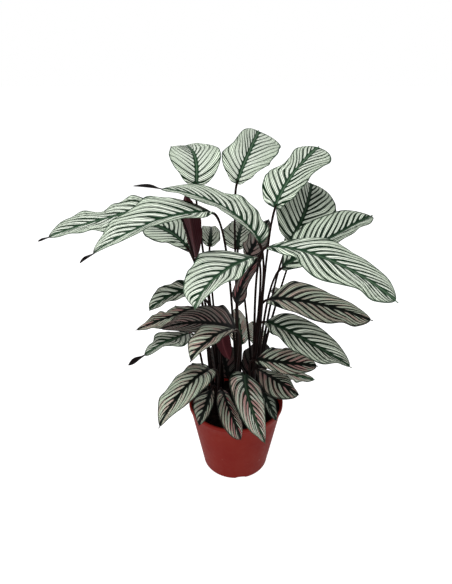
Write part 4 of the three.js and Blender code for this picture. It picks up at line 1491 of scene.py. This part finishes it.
def icosahedron() -> tuple[Array, list[tuple[int, ...]]]:
    """The round body that a crumb is made from.

    Returns:
        Its 12 corners at a distance of 1, and its faces.
    """
    gold = (1 + math.sqrt(5)) / 2
    corners = [(a, b * gold, 0) for a in (-1, 1) for b in (-1, 1)]
    corners = np.array([p[k:] + p[:k] for k in (0, 1, 2) for p in corners], float)
    corners /= np.linalg.norm(corners[0])
    near = np.linalg.norm(corners[:, None] - corners[None], axis=2)
    # Neighbouring corners are 1.05 apart, and the next nearest are 1.7 apart.
    touch = (near > 0.1) & (near < 1.2)
    faces = []
    for a, b, c in itertools.combinations(range(len(corners)), 3):
        if touch[a, b] and touch[b, c] and touch[a, c]:
            out = np.cross(corners[b] - corners[a], corners[c] - corners[a]) @ corners[a]
            faces.append((a, b, c) if out > 0 else (a, c, b))
    return corners, faces


@dataclass(frozen=True)
class PottingMix:
    """The potting mix: it fills the pot, heaps a little to the middle and lies in crumbs on top. Millimetres.

    lump is how high its slow waves are and grain its fine ones, which are grain_size wide. flattens is how
    far from the wall they are whole, as a share of the radius. shoulder is how far the mix keeps from the
    channel's corners.
    """

    pot: NurseryPot
    depth_below_rim: float = 15
    heap: float = 5
    lump: float = 1.6
    grain: float = 1.1
    grain_size: float = 3.2
    flattens: float = 1 / 6
    gap: float = 0.45
    shoulder: float = 0.8
    rings: int = 44
    sides: int = 132
    loose_crumbs: int = 170
    seed: int = 4
    clear_of_wall: float = 4
    farthest: float = 0.96
    crumb_sizes: tuple[float, float] = (0.8, 2.6)
    crumb_widths: tuple[float, float] = (0.7, 1.3)
    crumb_heights: tuple[float, float] = (0.5, 0.9)
    crumb_corners: tuple[float, float] = (0.75, 1.2)
    crumb_lift: float = 0.15

    @property
    def top(self) -> float:
        """Where the mix meets the wall.

        Returns:
            The height.
        """
        return self.pot.height - self.depth_below_rim

    def wall_at(self, height: float) -> float:
        """The pot's inner radius at a height.

        Args:
            height: The height.

        Returns:
            The radius.
        """
        pot = self.pot
        start = pot.channel_height + pot.floor + pot.wall_start
        low = (pot.foot_radius + pot.foot_flare - pot.wall, start)
        high = (pot.rim_radius - pot.band_depth - pot.wall, pot.height - pot.band_height)
        return low[0] + (high[0] - low[0]) * (height - low[1]) / (high[1] - low[1])

    def surface(self, x: float, y: float) -> float:
        """The height of the mix at a place, crumbs included.

        Args:
            x: The place, to the right.
            y: The place, to the back.

        Returns:
            The height.
        """
        edge = self.wall_at(self.top) - self.gap
        share = max(0.0, 1 - math.hypot(x, y) / edge)
        lumps = math.sin(0.21 * x + 1.3) * math.cos(0.19 * y) + 0.6 * math.sin(0.37 * y - 0.31 * x)
        grains = noise.fractal(Vector((x, y, 0)) / self.grain_size, 0.6, 2.1, 4)
        rough = self.lump * lumps + self.grain * grains
        return self.top + self.heap * share + rough * min(1.0, share / self.flattens)

    def crumbs(self) -> tuple[list[Array], list[tuple[int, ...]]]:
        """Loose crumbs that lie half sunk in the surface.

        Returns:
            Each crumb's points, and the faces that they share.
        """
        draw = random.Random(self.seed)
        corners, faces = icosahedron()
        edge = self.wall_at(self.top) - self.clear_of_wall
        made = []
        for _ in range(self.loose_crumbs):
            far = edge * math.sqrt(draw.random()) * self.farthest
            turn = draw.uniform(0, 2 * math.pi)
            size = draw.uniform(*self.crumb_sizes)
            x, y = far * math.cos(turn), far * math.sin(turn)
            spans = (self.crumb_widths, self.crumb_widths, self.crumb_heights)
            squash = np.array([draw.uniform(*span) for span in spans])
            stretch = np.array([[draw.uniform(*self.crumb_corners)] for _ in corners])
            shape = corners * stretch * squash * size
            made.append(shape + np.array([x, y, self.surface(x, y) + size * self.crumb_lift]))
        return made, faces

    def build(self, peat: bpy.types.Material) -> None:
        """Builds the mix and sets it in the frame.

        Args:
            peat: The mix's material.
        """
        pot = self.pot
        low = pot.channel_height + pot.floor
        start = low + pot.wall_start
        edge = self.wall_at(self.top) - self.gap
        sunk = [
            (pot.channel_inner - self.gap, pot.floor + self.gap),
            (pot.channel_inner + self.shoulder - self.gap, low + self.gap),
            (pot.foot_radius - pot.wall - self.shoulder - self.gap, low + self.gap),
            (self.wall_at(start) - self.gap, start + self.gap),
            (edge, self.top),
        ]
        rings = [ring(r, z, self.sides) for r, z in sunk]
        for k in range(1, self.rings):
            flat = ring(edge * (1 - k / self.rings), 0, self.sides)
            rings.append(np.array([(x, y, self.surface(x, y)) for x, y, _ in flat]))
        points = list(rings)
        faces = tube_faces(len(rings), self.sides)
        start_point = len(rings) * self.sides
        crumbs, crumb_faces = self.crumbs()
        for shape in crumbs:
            faces += [tuple(start_point + k for k in face) for face in crumb_faces]
            points.append(shape)
            start_point += len(shape)
        piece = Skin(np.concatenate(points), faces).to_object("soil_bed", [peat])
        place_piece(piece, "soil")


@dataclass(frozen=True)
class SoftLight:
    """A square soft light, in metres and watts."""

    name: str
    at: Point
    size: float
    power: float

    def hang(self, aim: Point) -> None:
        """Hangs the light.

        Args:
            aim: The place that it looks at.
        """
        light = bpy.data.lights.new(self.name, "AREA")
        light.shape = "SQUARE"
        light.size = self.size
        light.energy = self.power
        made = bpy.data.objects.new(self.name, light)
        made.location = self.at
        made.rotation_euler = (Vector(aim) - Vector(self.at)).to_track_quat("-Z", "Y").to_euler()
        bpy.context.scene.collection.objects.link(made)


@dataclass(frozen=True)
class Studio:
    """The photograph's camera, a plain floor, a white sky that dims upwards, and soft light.

    Lengths are in metres and angles in degrees. The sky dims to the share sky between the heights sky_ends.
    """

    camera_at: Point = (-0.018, -0.817, 0.762)
    looks_down: float = 26.6
    lens: float = 36 * 556 / 584
    sensor: float = 36
    sky: float = 0.62
    sky_ends: tuple[float, float] = (0.05, 0.3)
    floor_size: float = 12
    aim: Point = (0, 0, 0.3)
    lights: tuple[SoftLight, ...] = (
        SoftLight("over", (-0.3, -0.5, 1.9), 1.2, 15),
        SoftLight("left", (-1.2, -1.6, 0.85), 1.0, 16),
    )

    def camera(self) -> None:
        """Sets up the camera at the photograph's viewing angle."""
        lens = bpy.data.cameras.new("camera")
        lens.lens = self.lens
        lens.sensor_width = self.sensor
        lens.sensor_fit = "AUTO"
        lens.clip_start = 0.01
        made = bpy.data.objects.new("camera", lens)
        made.location = self.camera_at
        made.rotation_euler = (math.radians(90 - self.looks_down), 0, 0)
        bpy.context.scene.collection.objects.link(made)
        bpy.context.scene.camera = made

    def floor(self) -> None:
        """Lays the floor."""
        half = self.floor_size / 2 / MM
        corners = np.array([(-half, -half, 0), (half, -half, 0), (half, half, 0), (-half, half, 0)])
        made = Skin(corners, [(0, 1, 2, 3)]).to_object("floor", [PaintedFloor().build()])

    def build(self) -> None:
        """Builds the camera, the floor, the sky and the lights."""
        self.camera()
        self.floor()
        bench = Bench(bpy.data.worlds.new("studio"))
        way = bench.add("TexCoord", {}, {}, "Generated")
        height = bench.add("SeparateXYZ", {}, {0: way}, "Z")
        strength = bench.ramp(height, *self.sky_ends, 1.0, self.sky)
        glow = bench.add("Background", {}, {"Color": linear("#ffffff"), "Strength": strength})
        bpy.context.scene.world = bench.finish(glow, "OutputWorld")
        bpy.context.scene.view_settings.view_transform = "Standard"
        for light in self.lights:
            light.hang(self.aim)


SHOOT_PLACES = {"a": (-32, -22), "b": (-3, -36), "c": (28, -26), "d": (-28, 16), "e": (4, 8), "g": (34, 16)}


def main() -> None:
    """Builds the studio and every piece in order."""
    logging.basicConfig(level=logging.INFO, format="%(message)s")
    Studio().build()
    low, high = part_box("pot")
    pot = NurseryPot(rim_radius=(high.x - low.x) / 2 / MM, height=high.z / MM)
    pot.build(MouldedPolypropylene().build())
    mix = PottingMix(pot)
    mix.build(MoistPeat().build())
    Foliage(LEAVES).build()
    skin = PetioleSkin().build()
    for key, (x, y) in SHOOT_PLACES.items():
        carried = [leaf for leaf in LEAVES if leaf.shoot == key]
        Shoot(key, x, y, mix.top).build(carried, skin)


if __name__ == "__main__":
    main()
